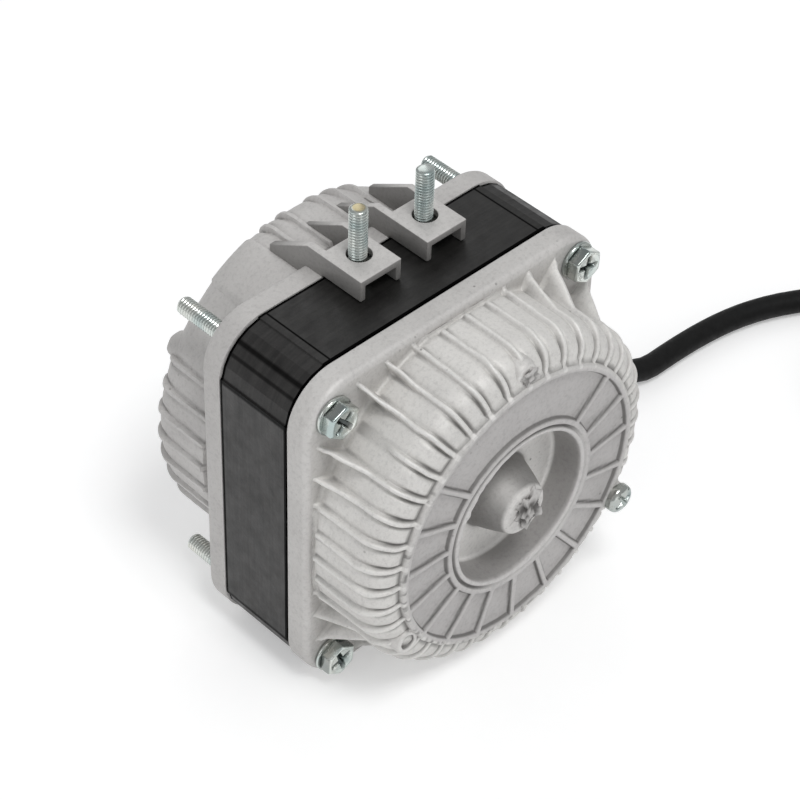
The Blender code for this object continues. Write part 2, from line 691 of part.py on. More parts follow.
def make_bearings():
    """Each row is a ring: name, inner and outer radius, inner and outer place, material."""
    rows = (
        ("bearing_bush", SHAFT_R + RUNNING, BUSH_R, BUSH_IN_T, BUSH_OUT_T, "bush_bronze"),
        ("oil_felt", BUSH_R + GAP, FELT_R, FELT_IN_T, FELT_OUT_T, "felt"),
        ("bearing_retainer", BUSH_R + GAP, FELT_R, FELT_IN_T - 0.9, FELT_IN_T - GAP, "spring_steel"),
        ("thrust_washer", SHAFT_R + GAP, 5.5, CLIP_OUT_T + GAP, BUSH_IN_T - GAP, "bobbin_nylon"),
        ("circlip", SHAFT_R - 0.1, 4.6, CLIP_IN_T, CLIP_OUT_T, "spring_steel"),
    )
    for side, end in ((-1.0, "rear"), (1.0, "front")):
        for name, inner, outer, near, far, material_name in rows:
            steps = 20 if name == "bearing_bush" else 16
            made = tube_ring(inner, outer, side * near, side * far, steps)
            finish(made, f"{name}_{end}", material_name)


def hexagon(radius, turn=0.0):
    return arc((0.0, 0.0), radius, turn, turn + 300.0, 5)


def cross_recess(centre, top_y, depth):
    long, wide = CROSS_LONG / 2.0, CROSS_WIDE / 2.0
    outline = [(long, wide), (wide, wide), (wide, long), (-wide, long), (-wide, wide), (-long, wide),
               (-long, -wide), (-wide, -wide), (-wide, -long), (wide, -long), (wide, -wide), (long, -wide)]
    moved = [(centre[0] + x, centre[1] + z) for x, z in turn_points(outline, 45.0)]
    return prism("cross", moved, top_y - 1.0, top_y + depth)


def make_through_screws():
    seat = -FLANGE_OUT - GAP
    collar = seat - HEAD_WASHER
    top = seat - HEAD_HEIGHT
    for index, (x, z) in enumerate(screw_places()):
        profile = [(0.0, collar), (HEAD_WASHER_R, collar), (HEAD_WASHER_R, seat), (SCREW_R, seat)]
        profile += [(SCREW_R, SCREW_TIP_Y - 1.2), (SCREW_R - 0.9, SCREW_TIP_Y), (0.0, SCREW_TIP_Y)]
        screw = turned("screw", profile, 12, (x, 0.0, z))
        outline = [(x + a, z + b) for a, b in hexagon(HEX_R)]
        combine(screw, prism("hex", outline, top, seat - HEAD_WASHER / 2.0), "UNION")
        combine(screw, cross_recess((x, z), top, CROSS_DEEP), "DIFFERENCE")
        finish(screw, f"through_screw_{index + 1}", "zinc")


def make_foot_bolts():
    under = FOOT_TOP - FOOT_PLATE - GAP
    tip = FOOT_TOP + FOOT_BOLT_RISE
    for index, x in enumerate(FOOT_CENTRES):
        profile = [(0.0, under - 1.0), (SCREW_R, under - 1.0), (SCREW_R, tip - 0.8)]
        profile += [(SCREW_R - 0.7, tip), (0.0, tip)]
        bolt = turned("bolt", profile, 12, (x, FOOT_BOLT_Y, 0.0), "Z")
        outline = [(x + a, FOOT_BOLT_Y + b) for a, b in hexagon(HEX_R, 30.0)]
        combine(bolt, prism("hex", outline, under - 2.8, under, "Z"), "UNION")
        finish(bolt, f"foot_bolt_{index + 1}", "zinc")


def make_earth_screw():
    x, z = boss_place(REAR_BOSS_ANGLES[2])
    seat = -FACE_T - GAP
    collar_r = BOSS_AT_R - RING_R - GAP / 2.0
    collar_y = -BOSS_T - GAP
    top = seat - EARTH_HEAD
    tip = BOSS_HOLE_DEPTH - BOSS_T - 1.0
    profile = [(0.0, top), (EARTH_HEAD_R - 1.0, top), (EARTH_HEAD_R, top + 1.0)]
    profile += [(EARTH_HEAD_R, seat), (collar_r, seat), (collar_r, collar_y)]
    profile += [(EARTH_R, collar_y), (EARTH_R, tip - 0.5), (0.0, tip)]
    screw = turned("screw", profile, 12, (x, 0.0, z))
    combine(screw, cross_recess((x, z), top, 1.2), "DIFFERENCE")
    finish(screw, "earth_screw", "zinc")


def cable_route():
    """Centre line of the cable's laid stretch, smooth from inside the cover to the coil."""
    floor_z = -BODY_HALF + CABLE_R
    points = [Vector((x, CABLE_Y, CABLE_Z)) for x in (CABLE_IN_X, CABLE_BOSS_X, GROMMET_END_X)]
    end_x, end_y = CABLE_LANDING
    steps = 8
    for i in range(1, steps + 1):
        share = i / steps
        ease = share * share * (3.0 - 2.0 * share)
        x = GROMMET_END_X + (end_x - GROMMET_END_X) * share
        y = CABLE_Y + (end_y - CABLE_Y) * ease
        points.append(Vector((x, y, CABLE_Z + (floor_z - CABLE_Z) * ease)))
    for heading in CABLE_HEADINGS:
        ahead = Vector((math.cos(heading), math.sin(heading), 0.0))
        points.append(points[-1] + ahead * CABLE_STEP)
    coil = Vector((COIL_CENTRE[0], COIL_CENTRE[1], floor_z))
    stop = COIL_MEAN_R + COIL_HALF_WIDTH + CABLE_R
    before, after = [(point - coil).length for point in points[-2:]]
    points[-1] = points[-2].lerp(points[-1], (before - stop) / (before - after))
    return points


def tube(name, points, radius, sides, material_name):
    curve = bpy.data.curves.new(name, "CURVE")
    curve.dimensions = "3D"
    curve.bevel_depth = radius * MM
    curve.bevel_resolution = sides
    curve.use_fill_caps = True
    curve.render_resolution_u = 0
    line = curve.splines.new("POLY")
    line.points.add(len(points) - 1)
    for point, place in zip(line.points, points):
        point.co = (*(place * MM), 1.0)
    curve.materials.append(material(material_name))
    made = bpy.data.objects.new(name, curve)
    made.location = (0.0, 0.0, AXIS_Z * MM)
    bpy.context.scene.collection.objects.link(made)
    return made


def make_cable():
    entry_r = CABLE_R + GAP
    face = CABLE_BOSS_X + GAP
    profile = [(entry_r, GROMMET_IN_X), (GROMMET_R, GROMMET_IN_X), (GROMMET_R, face)]
    profile += [(GROMMET_FLANGE_R, face), (GROMMET_FLANGE_R, face + 1.5), (GROMMET_R + 0.5, face + 1.9)]
    profile += [(GROMMET_R, GROMMET_END_X), (entry_r, GROMMET_END_X)]
    grommet = turned("grommet", profile, 20, (0.0, CABLE_Y, CABLE_Z), "X")
    finish(grommet, "cable_grommet", "cable_rubber")
    tube("cable", cable_route(), CABLE_R, 2, "cable_rubber")


def make_cable_coil():
    """The cable's last turns, side by side on the floor, as one ring."""
    middle_z = -BODY_HALF + CABLE_R
    apart = COIL_HALF_WIDTH - CABLE_R
    section = arc((COIL_MEAN_R + apart, middle_z), CABLE_R, -90.0, 90.0, 4)
    section += arc((COIL_MEAN_R - apart, middle_z), CABLE_R, 90.0, 270.0, 4)
    coil = turned("coil", section, 40, (*COIL_CENTRE, 0.0), "Z")
    finish(coil, "cable_coil", "cable_rubber")


def make_core_ends():
    """Three bare cores that leave the coil's inner side and come down to the floor inside it."""
    start_z = -BODY_HALF + CABLE_R
    floor_z = -BODY_HALF + CORE_R
    coil = Vector((*COIL_CENTRE, 0.0))
    for side, name in ((-1, "brown"), (0, "blue"), (1, "green")):
        around = math.radians(CORE_AT + side * CORE_STEP)
        inward = math.radians(CORE_INWARD + side * CORE_SPREAD)
        start_r = COIL_MEAN_R - COIL_HALF_WIDTH - GAP - CORE_R * math.cos(inward)
        heading = around - math.pi / 2.0 - inward
        start = coil + Vector((math.cos(around), math.sin(around), 0.0)) * start_r
        ahead = Vector((math.cos(heading), math.sin(heading), 0.0)) * CORE_LENGTH
        points = [Vector((*(start + ahead * share).xy, z))
                  for share, z in ((0.0, start_z), (0.5, floor_z), (1.0, floor_z))]
        tube(f"core_end_{name}", points, CORE_R, 1, f"core_{name}")


start_clean()
make_rear_cover()
make_drive_end_cover()
make_stator()
make_coils()
make_rotor()
make_bearings()
make_through_screws()
make_foot_bolts()
make_earth_screw()
make_cable()
make_cable_coil()
make_core_ends()
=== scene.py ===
"""Looks of the fan motor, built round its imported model.

Meshes are worked out in millimetres about the motor's axis, which lies AXIS_Z above the ground,
and are written in metres in the row frame. The shaft lies along y, the rear cover is on the -y side.
"""
import json
import math

import bmesh
import bpy
import numpy as np
from mathutils import Matrix, Vector, noise


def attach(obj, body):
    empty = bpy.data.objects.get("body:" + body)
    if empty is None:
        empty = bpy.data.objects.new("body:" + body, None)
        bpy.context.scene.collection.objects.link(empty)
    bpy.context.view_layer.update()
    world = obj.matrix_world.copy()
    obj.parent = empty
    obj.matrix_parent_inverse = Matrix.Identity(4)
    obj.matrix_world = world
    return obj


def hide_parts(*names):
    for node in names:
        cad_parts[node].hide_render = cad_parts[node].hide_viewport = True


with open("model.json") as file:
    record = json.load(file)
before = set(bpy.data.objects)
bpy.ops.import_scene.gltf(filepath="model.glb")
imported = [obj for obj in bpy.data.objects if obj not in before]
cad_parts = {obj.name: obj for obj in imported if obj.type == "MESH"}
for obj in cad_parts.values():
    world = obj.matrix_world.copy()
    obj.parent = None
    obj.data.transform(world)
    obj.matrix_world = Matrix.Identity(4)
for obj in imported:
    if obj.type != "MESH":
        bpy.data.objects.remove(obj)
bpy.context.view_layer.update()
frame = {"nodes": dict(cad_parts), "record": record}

MM = 0.001

# Sizes in millimetres. The motor's axis lies AXIS_Z above the ground and other heights are taken from it;
# distances t along it run from the stack's middle.
AXIS_Z = 41.5
FLOOR_Z = -AXIS_Z
BODY_HALF = 41.5
BODY_CORNER_R = 11.6
STACK_EDGE = 9.05  # where the dark joint with each cover starts
FLANGE_IN = 9.9
FLANGE_OUT = 15.6
BARREL_T = 16.4
SHOULDER_T = 27.2
CREST_T = 28.5  # where the ribs' crests reach the shoulder
FACE_T = 35.8
RING_R = 33.9
RIB_R = 41.2
RIB_FOOT_R = 40.25
RIB_HALF = 0.38
BURR = 0.85  # how far it stands into the recess
KNOB_R = 3.0
BOSS_AT_R = 36.2
SCREW_AT = 34.6
SHANK_R = 1.95
THREAD_R = 2.0
THREAD_PITCH = 0.7
FOOT_X = (-8.05, 10.45)
FOOT_BOLT_Y = 5.5
CABLE_R = 2.9
CABLE_LENGTH = 500.0
CABLE_EXIT_X, CABLE_Y, CABLE_Z = 44.5, 21.8, -25.5
COIL_CENTRE = (138.5, -55.9)
COIL_R = 33.9

# Angles in degrees about the axis, from +x towards +z.
EARTH_ANGLE = 330.0
POCKET_PANEL = 48.5  # half of the wide pocket at the top
POCKET_COUNT = 14
WEB_HALF = math.degrees(0.8 / 27.0)

# Painted shade of the grooves at each corner of the stack: angle from the side, half width (both in degrees) and
# darkness.
STACK_LINES = ((92.8, 1.6, 1.0), (52.0, 4.2, 0.8), (36.5, 3.0, 0.7), (4.0, 4.2, 0.9))

DRAWS = 4096  # random numbers for each unevenness


# Camera

def set_camera():
    """The photograph's camera: its direction, its lens over an 800 pixel picture, and the point it looks at."""
    azimuth, elevation, roll = (math.radians(angle) for angle in (-45.633, 43.112, 2.036))
    focal_pixels, picture_pixels, sensor, distance = 2511.76, 800.0, 36.0, 0.531604
    target = Vector((-0.000134, 0.0, 0.047309))
    flat = math.cos(elevation)
    back = Vector((math.sin(azimuth) * flat, -math.cos(azimuth) * flat, math.sin(elevation)))
    level = Vector((math.cos(azimuth), math.sin(azimuth), 0.0))
    up = back.cross(level)
    right = level * math.cos(roll) + up * math.sin(roll)
    top = up * math.cos(roll) - level * math.sin(roll)
    data = bpy.data.cameras.new("camera")
    data.sensor_width = sensor
    data.lens = sensor * focal_pixels / picture_pixels
    data.clip_start = 0.01
    camera = linked("camera", data)
    placed = Matrix((right, top, back)).transposed().to_4x4()
    placed.translation = target + back * distance
    camera.matrix_world = placed
    bpy.context.scene.camera = camera


# Materials

class Shader:
    """A Principled material and short ways to add its nodes."""

    def __init__(self, name, colour, roughness, metallic=0.0, specular=0.5):
        self.material = bpy.data.materials.new(name)
        self.material.use_nodes = True
        self.tree = self.material.node_tree
        self.main = self.tree.nodes["Principled BSDF"]
        self.set("Base Color", colour)
        self.set("Roughness", roughness)
        self.set("Metallic", metallic)
        self.set("Specular IOR Level", specular)
        self.place = self.node("TexCoord").outputs["Object"]

    def feed(self, socket, value):
        """Gives a socket a value, a colour or another node's output."""
        if isinstance(value, bpy.types.NodeSocket):
            self.tree.links.new(value, socket)
        else:
            socket.default_value = (*value, 1.0) if socket.type == "RGBA" else value

    def set(self, socket, value):
        self.feed(self.main.inputs[socket], value)

    def node(self, kind, **inputs):
        made = self.tree.nodes.new("ShaderNode" + kind)
        for name, value in inputs.items():
            self.feed(made.inputs[name], value)
        return made

    def stretched(self, scale):
        return self.node("Mapping", Vector=self.place, Scale=scale).outputs["Vector"]

    def noise(self, scale, detail=3.0, roughness=0.55, vector=None):
        inputs = {"Scale": scale, "Detail": detail, "Roughness": roughness}
        return self.node("TexNoise", Vector=vector or self.place, **inputs).outputs["Fac"]

    def cells(self, scale):
        return self.node("TexVoronoi", Vector=self.place, Scale=scale).outputs["Distance"]

    def wave(self, scale, direction, distortion=0.0):
        node = self.node("TexWave", Vector=self.place, Scale=scale, Distortion=distortion)
        node.bands_direction = direction
        return node.outputs["Fac"]

    def attribute(self, name):
        node = self.node("Attribute")
        node.attribute_name = name
        return node.outputs["Fac"]

    def ramp(self, source, stops):
        node = self.node("ValToRGB", Fac=source)
        line = node.color_ramp.elements
        while len(line) < len(stops):
            line.new(0.5)
        for element, (position, value) in zip(line, stops):
            element.position = position
            colour = value if isinstance(value, tuple) else (value, value, value)
            element.color = (*colour, 1.0)
        return node.outputs["Color"]

    def mix(self, factor, first, second, blend="MIX"):
        node = self.node("Mix")
        node.data_type = "RGBA"
        node.blend_type = blend
        for index, value in ((0, factor), (6, first), (7, second)):
            self.feed(node.inputs[index], value)
        return node.outputs[2]

    def maths(self, operation, *values):
        node = self.node("Math")
        node.operation = operation
        for socket, value in zip(node.inputs, values):
            self.feed(socket, value)
        return node.outputs[0]

    def bump(self, height, distance, strength=1.0, under=None):
        node = self.node("Bump", Strength=strength, Distance=distance, Height=height)
        if under:
            self.feed(node.inputs["Normal"], under)
        return node.outputs["Normal"]

    def finish(self, colour, roughness=None, normal=None):
        for socket, source in (("Base Color", colour), ("Roughness", roughness), ("Normal", normal)):
            if source:
                self.set(socket, source)
        return self.material


def cast_metal():
    """Bare die-cast aluminium, with painted light from its masks: painted highlights on crests, painted shade on
    faces, deeper painted shade down in slots.
    """
    s = Shader("cast_aluminium_look", (0.68, 0.665, 0.64), 0.5, 0.3, 0.35)
    broad = s.noise(38.0, 4.0, 0.6)
    patches = s.ramp(broad, [(0.32, (0.60, 0.585, 0.565)), (0.55, (0.70, 0.685, 0.66)), (0.75, (0.76, 0.745, 0.72))])
    grain = s.noise(2600.0, 2.0, 0.5)
    colour = s.mix(0.35, patches, s.ramp(grain, [(0.3, 0.42), (0.7, 0.66)]), "OVERLAY")
    # Painted light: a painted highlight, then painted shade on the faces (a little mauve) and deeper painted shade in
    # the slots.
    colour = s.mix(s.attribute("painted_highlight"), colour, (0.90, 0.885, 0.86))
    colour = s.mix(s.attribute("face"), colour, s.mix(0.6, colour, (0.50, 0.48, 0.485)))
    colour = s.mix(s.attribute("slot"), colour, (0.11, 0.105, 0.10))
    mottle = s.ramp(s.noise(1100.0, 5.0, 0.7), [(0.34, 0.80), (0.5, 0.97), (0.7, 1.0)])
    colour = s.mix(0.7, colour, mottle, "MULTIPLY")
    specks = s.ramp(s.cells(330.0), [(0.0, 1.0), (0.075, 1.0), (0.12, 0.0)])
    sparse = s.ramp(s.noise(90.0, 2.0), [(0.52, 0.0), (0.62, 0.75)])
    colour = s.mix(s.maths("MULTIPLY", specks, sparse), colour, (0.24, 0.23, 0.22))
    roughness = s.ramp(s.noise(160.0, 4.0, 0.6), [(0.3, 0.50), (0.75, 0.68)])
    soft = s.bump(s.noise(420.0, 4.0, 0.65), 0.00016, 0.6)
    fine = s.bump(grain, 0.00004, 0.7, soft)
    pits = s.ramp(s.cells(520.0), [(0.0, 0.0), (0.13, 1.0)])
    return s.finish(colour, roughness, s.bump(pits, 0.00005, 0.25, fine))


def lamination():
    """Dark oxide on the stack's edges, with the joints of its sheets; painted shade in its corner grooves and on its
    top face.
    """
    s = Shader("lamination_look", (0.03, 0.03, 0.03), 0.42, 0.35, 0.5)
    sheets = s.wave(320.0, "Y", 0.6)
    streaks = s.noise(60.0, 4.0, 0.65, s.stretched((1.0, 14.0, 1.0)))
    mottled = s.ramp(s.noise(240.0, 5.0, 0.65), [(0.3, (0.014, 0.013, 0.013)), (0.7, (0.029, 0.028, 0.027))])
    colour = s.mix(s.ramp(streaks, [(0.4, 0.0), (0.75, 0.55)]), mottled, (0.055, 0.052, 0.050))
    specks = s.ramp(s.cells(900.0), [(0.0, 1.0), (0.07, 0.0)])
    colour = s.mix(s.maths("MULTIPLY", specks, 0.30), colour, (0.14, 0.13, 0.12))
    grain = s.ramp(s.noise(2600.0, 3.0, 0.7), [(0.35, 0.72), (0.65, 1.0)])
    colour = s.mix(0.8, colour, grain, "MULTIPLY")
    split = s.node("SeparateXYZ", Vector=s.place)
    # Painted shade: the stack's top face is darker.
    on_top = s.maths("GREATER_THAN", split.outputs["Z"], 2.0 * AXIS_Z * MM - 0.0004)
    colour = s.mix(s.maths("MULTIPLY", on_top, 0.42), colour, (0.006, 0.006, 0.005))
    away_x = s.maths("ABSOLUTE", split.outputs["X"])
    away_z = s.maths("ABSOLUTE", s.maths("SUBTRACT", split.outputs["Z"], AXIS_Z * MM))
    corner = (BODY_HALF - BODY_CORNER_R) * MM
    turn = s.maths("ARCTAN2", s.maths("SUBTRACT", away_z, corner), s.maths("SUBTRACT", away_x, corner))
    in_corner = s.maths("GREATER_THAN", s.maths("MINIMUM", away_x, away_z), corner - 0.0016)
    # The dark joint with each cover, then painted shade in the corner grooves.
    dark = s.maths("GREATER_THAN", s.maths("ABSOLUTE", split.outputs["Y"]), STACK_EDGE * MM)
    for place, width, depth in STACK_LINES:
        near = s.maths("ABSOLUTE", s.maths("SUBTRACT", turn, math.radians(place)))
        line = s.ramp(s.maths("DIVIDE", near, math.radians(width)), [(0.35, depth), (1.0, 0.0)])
        dark = s.maths("MAXIMUM", dark, s.maths("MULTIPLY", line, in_corner))
    colour = s.mix(dark, colour, (0.001, 0.001, 0.001))
    s.set("Specular IOR Level", s.maths("MULTIPLY", s.maths("SUBTRACT", 1.0, dark), 0.5))
    roughness = s.ramp(s.noise(300.0, 4.0, 0.6), [(0.3, 0.34), (0.7, 0.52)])
    fine = s.bump(s.noise(1500.0, 3.0, 0.6), 0.00005, 0.6)
    return s.finish(colour, roughness, s.bump(sheets, 0.00001, 0.3, fine))


def zinc():
    """Bright zinc plating with its greenish blue tint and painted shade from the slot mask; one bolt has a yellowed
    tip.
    """
    s = Shader("zinc_look", (0.60, 0.64, 0.62), 0.24, 1.0)
    tint = s.ramp(s.noise(170.0, 2.0, 0.5),
                  [(0.3, (0.46, 0.54, 0.53)), (0.5, (0.66, 0.70, 0.67)), (0.72, (0.78, 0.78, 0.73))])
    # Painted shade where the slot mask is set: thread roots, recesses, steps under heads and alternate hexagon flats.
    tint = s.mix(s.attribute("slot"), tint, (0.05, 0.06, 0.06))
    tint = s.mix(s.attribute("warm"), tint, (0.42, 0.33, 0.14))
    rough = s.ramp(s.noise(600.0, 2.0, 0.5), [(0.3, 0.18), (0.7, 0.30)])
    return s.finish(tint, rough, s.bump(s.noise(1500.0, 2.0, 0.5), 0.00001, 0.4))


def rubber():
    """Matt black rubber of the cable's sheath and its grommet."""
    s = Shader("cable_rubber_look", (0.006, 0.006, 0.006), 0.6, 0.0, 0.2)
    colour = s.ramp(s.noise(500.0, 3.0, 0.6), [(0.3, (0.004, 0.004, 0.004)), (0.7, (0.008, 0.008, 0.008))])
    rough = s.ramp(s.noise(800.0, 3.0, 0.6), [(0.3, 0.48), (0.7, 0.66)])
    return s.finish(colour, rough, s.bump(s.noise(1400.0, 3.0, 0.6), 0.00006, 0.5))


def striped():
    """Green insulation with a yellow stripe."""
    s = Shader("core_green_look", (0.12, 0.32, 0.05), 0.45)
    band = s.ramp(s.wave(90.0, "DIAGONAL"), [(0.45, (0.05, 0.27, 0.04)), (0.55, (0.72, 0.62, 0.04))])
    return s.finish(band, None, s.bump(s.noise(900.0), 0.00002, 0.5))


def plain(slot, low, high, roughness, metallic, grain, depth, lines=None):
    """A surface of one stuff, with a grain and, where it has them, turned or wound lines."""
    s = Shader(slot + "_look", high, roughness, metallic)
    texture = s.noise(grain, 4.0, 0.6)
    colour = s.ramp(texture, [(0.3, low), (0.7, high)])
    normal = s.bump(texture, depth, 0.6)
    if lines:
        scale, direction, deep = lines
        normal = s.bump(s.wave(scale, direction), deep, 0.7, normal)
    rough = s.ramp(s.noise(grain * 0.6, 3.0, 0.6), [(0.3, roughness * 0.8), (0.7, min(1.0, roughness * 1.2))])
    return s.finish(colour, rough, normal)


# Slot, dark and light colour, roughness, metallic, the grain's scale and depth, and any lines.
PLAIN = (
    ("bobbin_nylon", (0.72, 0.70, 0.62), (0.82, 0.80, 0.73), 0.45, 0.0, 600.0, 0.00003),
    ("winding_copper", (0.36, 0.13, 0.05), (0.60, 0.25, 0.10), 0.3, 0.7, 900.0, 0.00003, (450.0, "DIAGONAL", 0.0002)),
    ("shading_copper", (0.52, 0.24, 0.13), (0.70, 0.36, 0.20), 0.35, 1.0, 900.0, 0.00003),
    ("rotor_steel", (0.22, 0.22, 0.23), (0.34, 0.34, 0.34), 0.42, 0.9, 900.0, 0.00003, (320.0, "Y", 0.00004)),
    ("cage_aluminium", (0.56, 0.56, 0.55), (0.70, 0.70, 0.69), 0.42, 0.9, 700.0, 0.00006),
    ("shaft_steel", (0.52, 0.53, 0.54), (0.64, 0.65, 0.66), 0.22, 1.0, 1200.0, 0.00001, (1500.0, "Y", 0.00001)),
    ("bush_bronze", (0.36, 0.23, 0.11), (0.50, 0.34, 0.18), 0.5, 0.9, 2200.0, 0.00004),
    ("felt", (0.58, 0.55, 0.48), (0.76, 0.73, 0.66), 0.95, 0.0, 1800.0, 0.0003),
    ("spring_steel", (0.26, 0.26, 0.28), (0.38, 0.38, 0.40), 0.33, 1.0, 900.0, 0.00002),
    ("core_brown", (0.09, 0.035, 0.015), (0.14, 0.06, 0.03), 0.45, 0.0, 900.0, 0.00002),
    ("core_blue", (0.015, 0.07, 0.28), (0.03, 0.11, 0.38), 0.45, 0.0, 900.0, 0.00002),
)


def all_materials():
    made = {"cast_aluminium": cast_metal(), "lamination": lamination(), "zinc": zinc(), "cable_rubber": rubber(),
            "core_green": striped()}
    for slot, *look in PLAIN:
        made[slot] = plain(slot, *look)
    return made


# Mesh helpers

def linked(name, data):
    """A new object in the scene with this mesh, curve, lamp or camera."""
    made = bpy.data.objects.new(name, data)
    bpy.context.scene.collection.objects.link(made)
    return made


def set_mask(piece, key, values):
    """One value a point, which the piece's material reads by this name."""
    layer = piece.data.attributes.new(key, "FLOAT", "POINT")
    layer.data.foreach_set("value", np.asarray(values, np.float32))


def new_piece(name, points, faces, masks=None, smooth=True):
    """A mesh from points in millimetres about the axis, stored in metres in the row frame."""
    placed = np.array(points, float).reshape(-1, 3)
    placed[:, 2] += AXIS_Z
    mesh = bpy.data.meshes.new(name)
    mesh.from_pydata((placed * MM).tolist(), [], faces)
    if smooth:
        mesh.shade_smooth()
    piece = linked(name, mesh)
    for key, values in (masks or {}).items():
        set_mask(piece, key, values)
    return piece


def joined(name, pieces):
    """One object from several; their point masks are kept."""
    sheet = bmesh.new()
    for piece in pieces:
        sheet.from_mesh(piece.data)
    mesh = bpy.data.meshes.new(name)
    sheet.to_mesh(mesh)
    sheet.free()
    for piece in pieces:
        bpy.data.objects.remove(piece, do_unlink=True)
    return linked(name, mesh)


def edited(piece, *jobs):
    """Runs each job on the piece's mesh, opened as a bmesh."""
    sheet = bmesh.new()
    sheet.from_mesh(piece.data)
    for job in jobs:
        job(sheet)
    sheet.to_mesh(piece.data)
    sheet.free()
    return piece


def face_outwards(sheet):
    bmesh.ops.recalc_face_normals(sheet, faces=sheet.faces)


def weld(sheet):
    bmesh.ops.remove_doubles(sheet, verts=sheet.verts, dist=1e-6)


def weld_on_axis(sheet):
    """Makes one point of each ring that has closed on the motor's axis."""
    middle = [v for v in sheet.verts if v.co.x ** 2 + (v.co.z - AXIS_Z * MM) ** 2 < 1e-10]
    bmesh.ops.remove_doubles(sheet, verts=middle, dist=1e-7)


def smooth_by_angle(piece, degrees):
    """Smooth shading, but with a sharp edge where faces meet at more than this angle."""
    def mark(sheet):
        for face in sheet.faces:
            face.smooth = True
        for edge in sheet.edges:
            edge.smooth = len(edge.link_faces) != 2 or edge.calc_face_angle(0.0) < math.radians(degrees)
    return edited(piece, mark)


def turns(steps):
    return [2.0 * math.pi * i / steps for i in range(steps)]


def grid_faces(rows, columns, flip=False):
    """Quads between rings of points, closed round the ring."""
    faces = []
    for i in range(rows - 1):
        low, high = i * columns, (i + 1) * columns
        for j in range(columns):
            k = (j + 1) % columns
            faces.append((low + k, low + j, high + j, high + k) if flip else (low + j, low + k, high + k, high + j))
    return faces


def lathe(name, profile, steps, centre, axis, wobble=0.0, seed=0.0):
    """Turns a (radius, distance) line about an axis; its ends are closed at radius 0."""
    points = []
    for radius, along in profile:
        for angle in turns(steps):
            r = radius
            if wobble and radius > 0.05:
                place = Vector((math.cos(angle) * 1.3, math.sin(angle) * 1.3, along * 0.8 + seed))
                r = radius * (1.0 + wobble * noise.noise(place))
            u, v = r * math.cos(angle), r * math.sin(angle)
            point = {"X": (along, u, v), "Y": (u, along, v), "Z": (u, v, along)}[axis]
            points.append(tuple(c + p for c, p in zip(centre, point)))
    piece = new_piece(name, points, grid_faces(len(profile), steps))
    return edited(piece, weld, face_outwards)


def rod(radius, low, high, steps, centre, axis):
    return lathe("rod", [(0.0, low), (radius, low), (radius, high), (0.0, high)], steps, centre, axis)


def block(name, outline, low, high, axis):
    """A straight bar: its outline is (y, z) along axis X and (x, y) along axis Z."""
    points = [(c, a, b) if axis == "X" else (a, b, c) for c in (low, high) for a, b in outline]
    count = len(outline)
    faces = [(i, (i + 1) % count, count + (i + 1) % count, count + i) for i in range(count)]
    faces += [tuple(range(count)), tuple(range(count, 2 * count))]
    return edited(new_piece(name, points, faces, smooth=False), face_outwards)


def soften(piece, width):
    """Rounds the edges of a piece and applies the result."""
    step = piece.modifiers.new("bevel", "BEVEL")
    step.width = width * MM
    step.segments = 2
    step.limit_method = "ANGLE"
    step.angle_limit = math.radians(35.0)
    apply_all(piece)


def cut(piece, tools):
    """Cuts each tool out of the piece and removes it."""
    for tool in tools:
        step = piece.modifiers.new("cut", "BOOLEAN")
        step.operation = "DIFFERENCE"
        step.solver = "EXACT"
        step.object = tool
        apply_all(piece)
        bpy.data.objects.remove(tool, do_unlink=True)


def apply_all(piece):
    graph = bpy.context.evaluated_depsgraph_get()
    mesh = bpy.data.meshes.new_from_object(piece.evaluated_get(graph))
    piece.modifiers.clear()
    piece.data = mesh


# Cast covers

def eased(x):
    x = np.clip(x, 0.0, 1.0)
    return x * x * (3.0 - 2.0 * x)


def between(low, high, share):
    return low + (high - low) * share


def square_radius(angles, inset):
    """Distance from the axis to the body's rounded square, drawn in by inset."""
    c, s = np.abs(np.cos(angles)), np.abs(np.sin(angles))
    half = BODY_HALF - inset
    at = BODY_HALF - BODY_CORNER_R
    corner = BODY_CORNER_R - inset
    straight = half / np.maximum(c, s)
    reach = at * (c + s)
    rounded = reach + np.sqrt(np.maximum(reach ** 2 - 2.0 * at ** 2 + corner ** 2, 0.0))
    return np.where(straight * np.minimum(c, s) <= at, straight, rounded)


def cover_columns(ribs, webs):
    """Angles of the cover's columns of points: close together at each rib and each web."""
    angles = set()
    for rib in ribs:
        for offset in (-1.1, -0.86, -0.7, -0.55, -0.38, 0.0, 0.38, 0.55, 0.7, 0.86, 1.1):
            angles.add(round((rib + math.degrees(offset / RIB_R)) % 360.0, 4))
    for web in webs:
        for offset in (-1.6, -1.15, -0.9, 0.0, 0.9, 1.15, 1.6):
            angles.add(round((web + WEB_HALF * offset) % 360.0, 4))
    fill = 0.0
    while fill < 360.0:
        if all(abs((fill - a + 180.0) % 360.0 - 180.0) > 0.4 for a in angles):
            angles.add(round(fill, 4))
        fill += 0.75
    kept = []
    for angle in sorted(angles):
        if not kept or angle - kept[-1] > 0.11:
            kept.append(angle)
    return np.radians(np.array(kept))


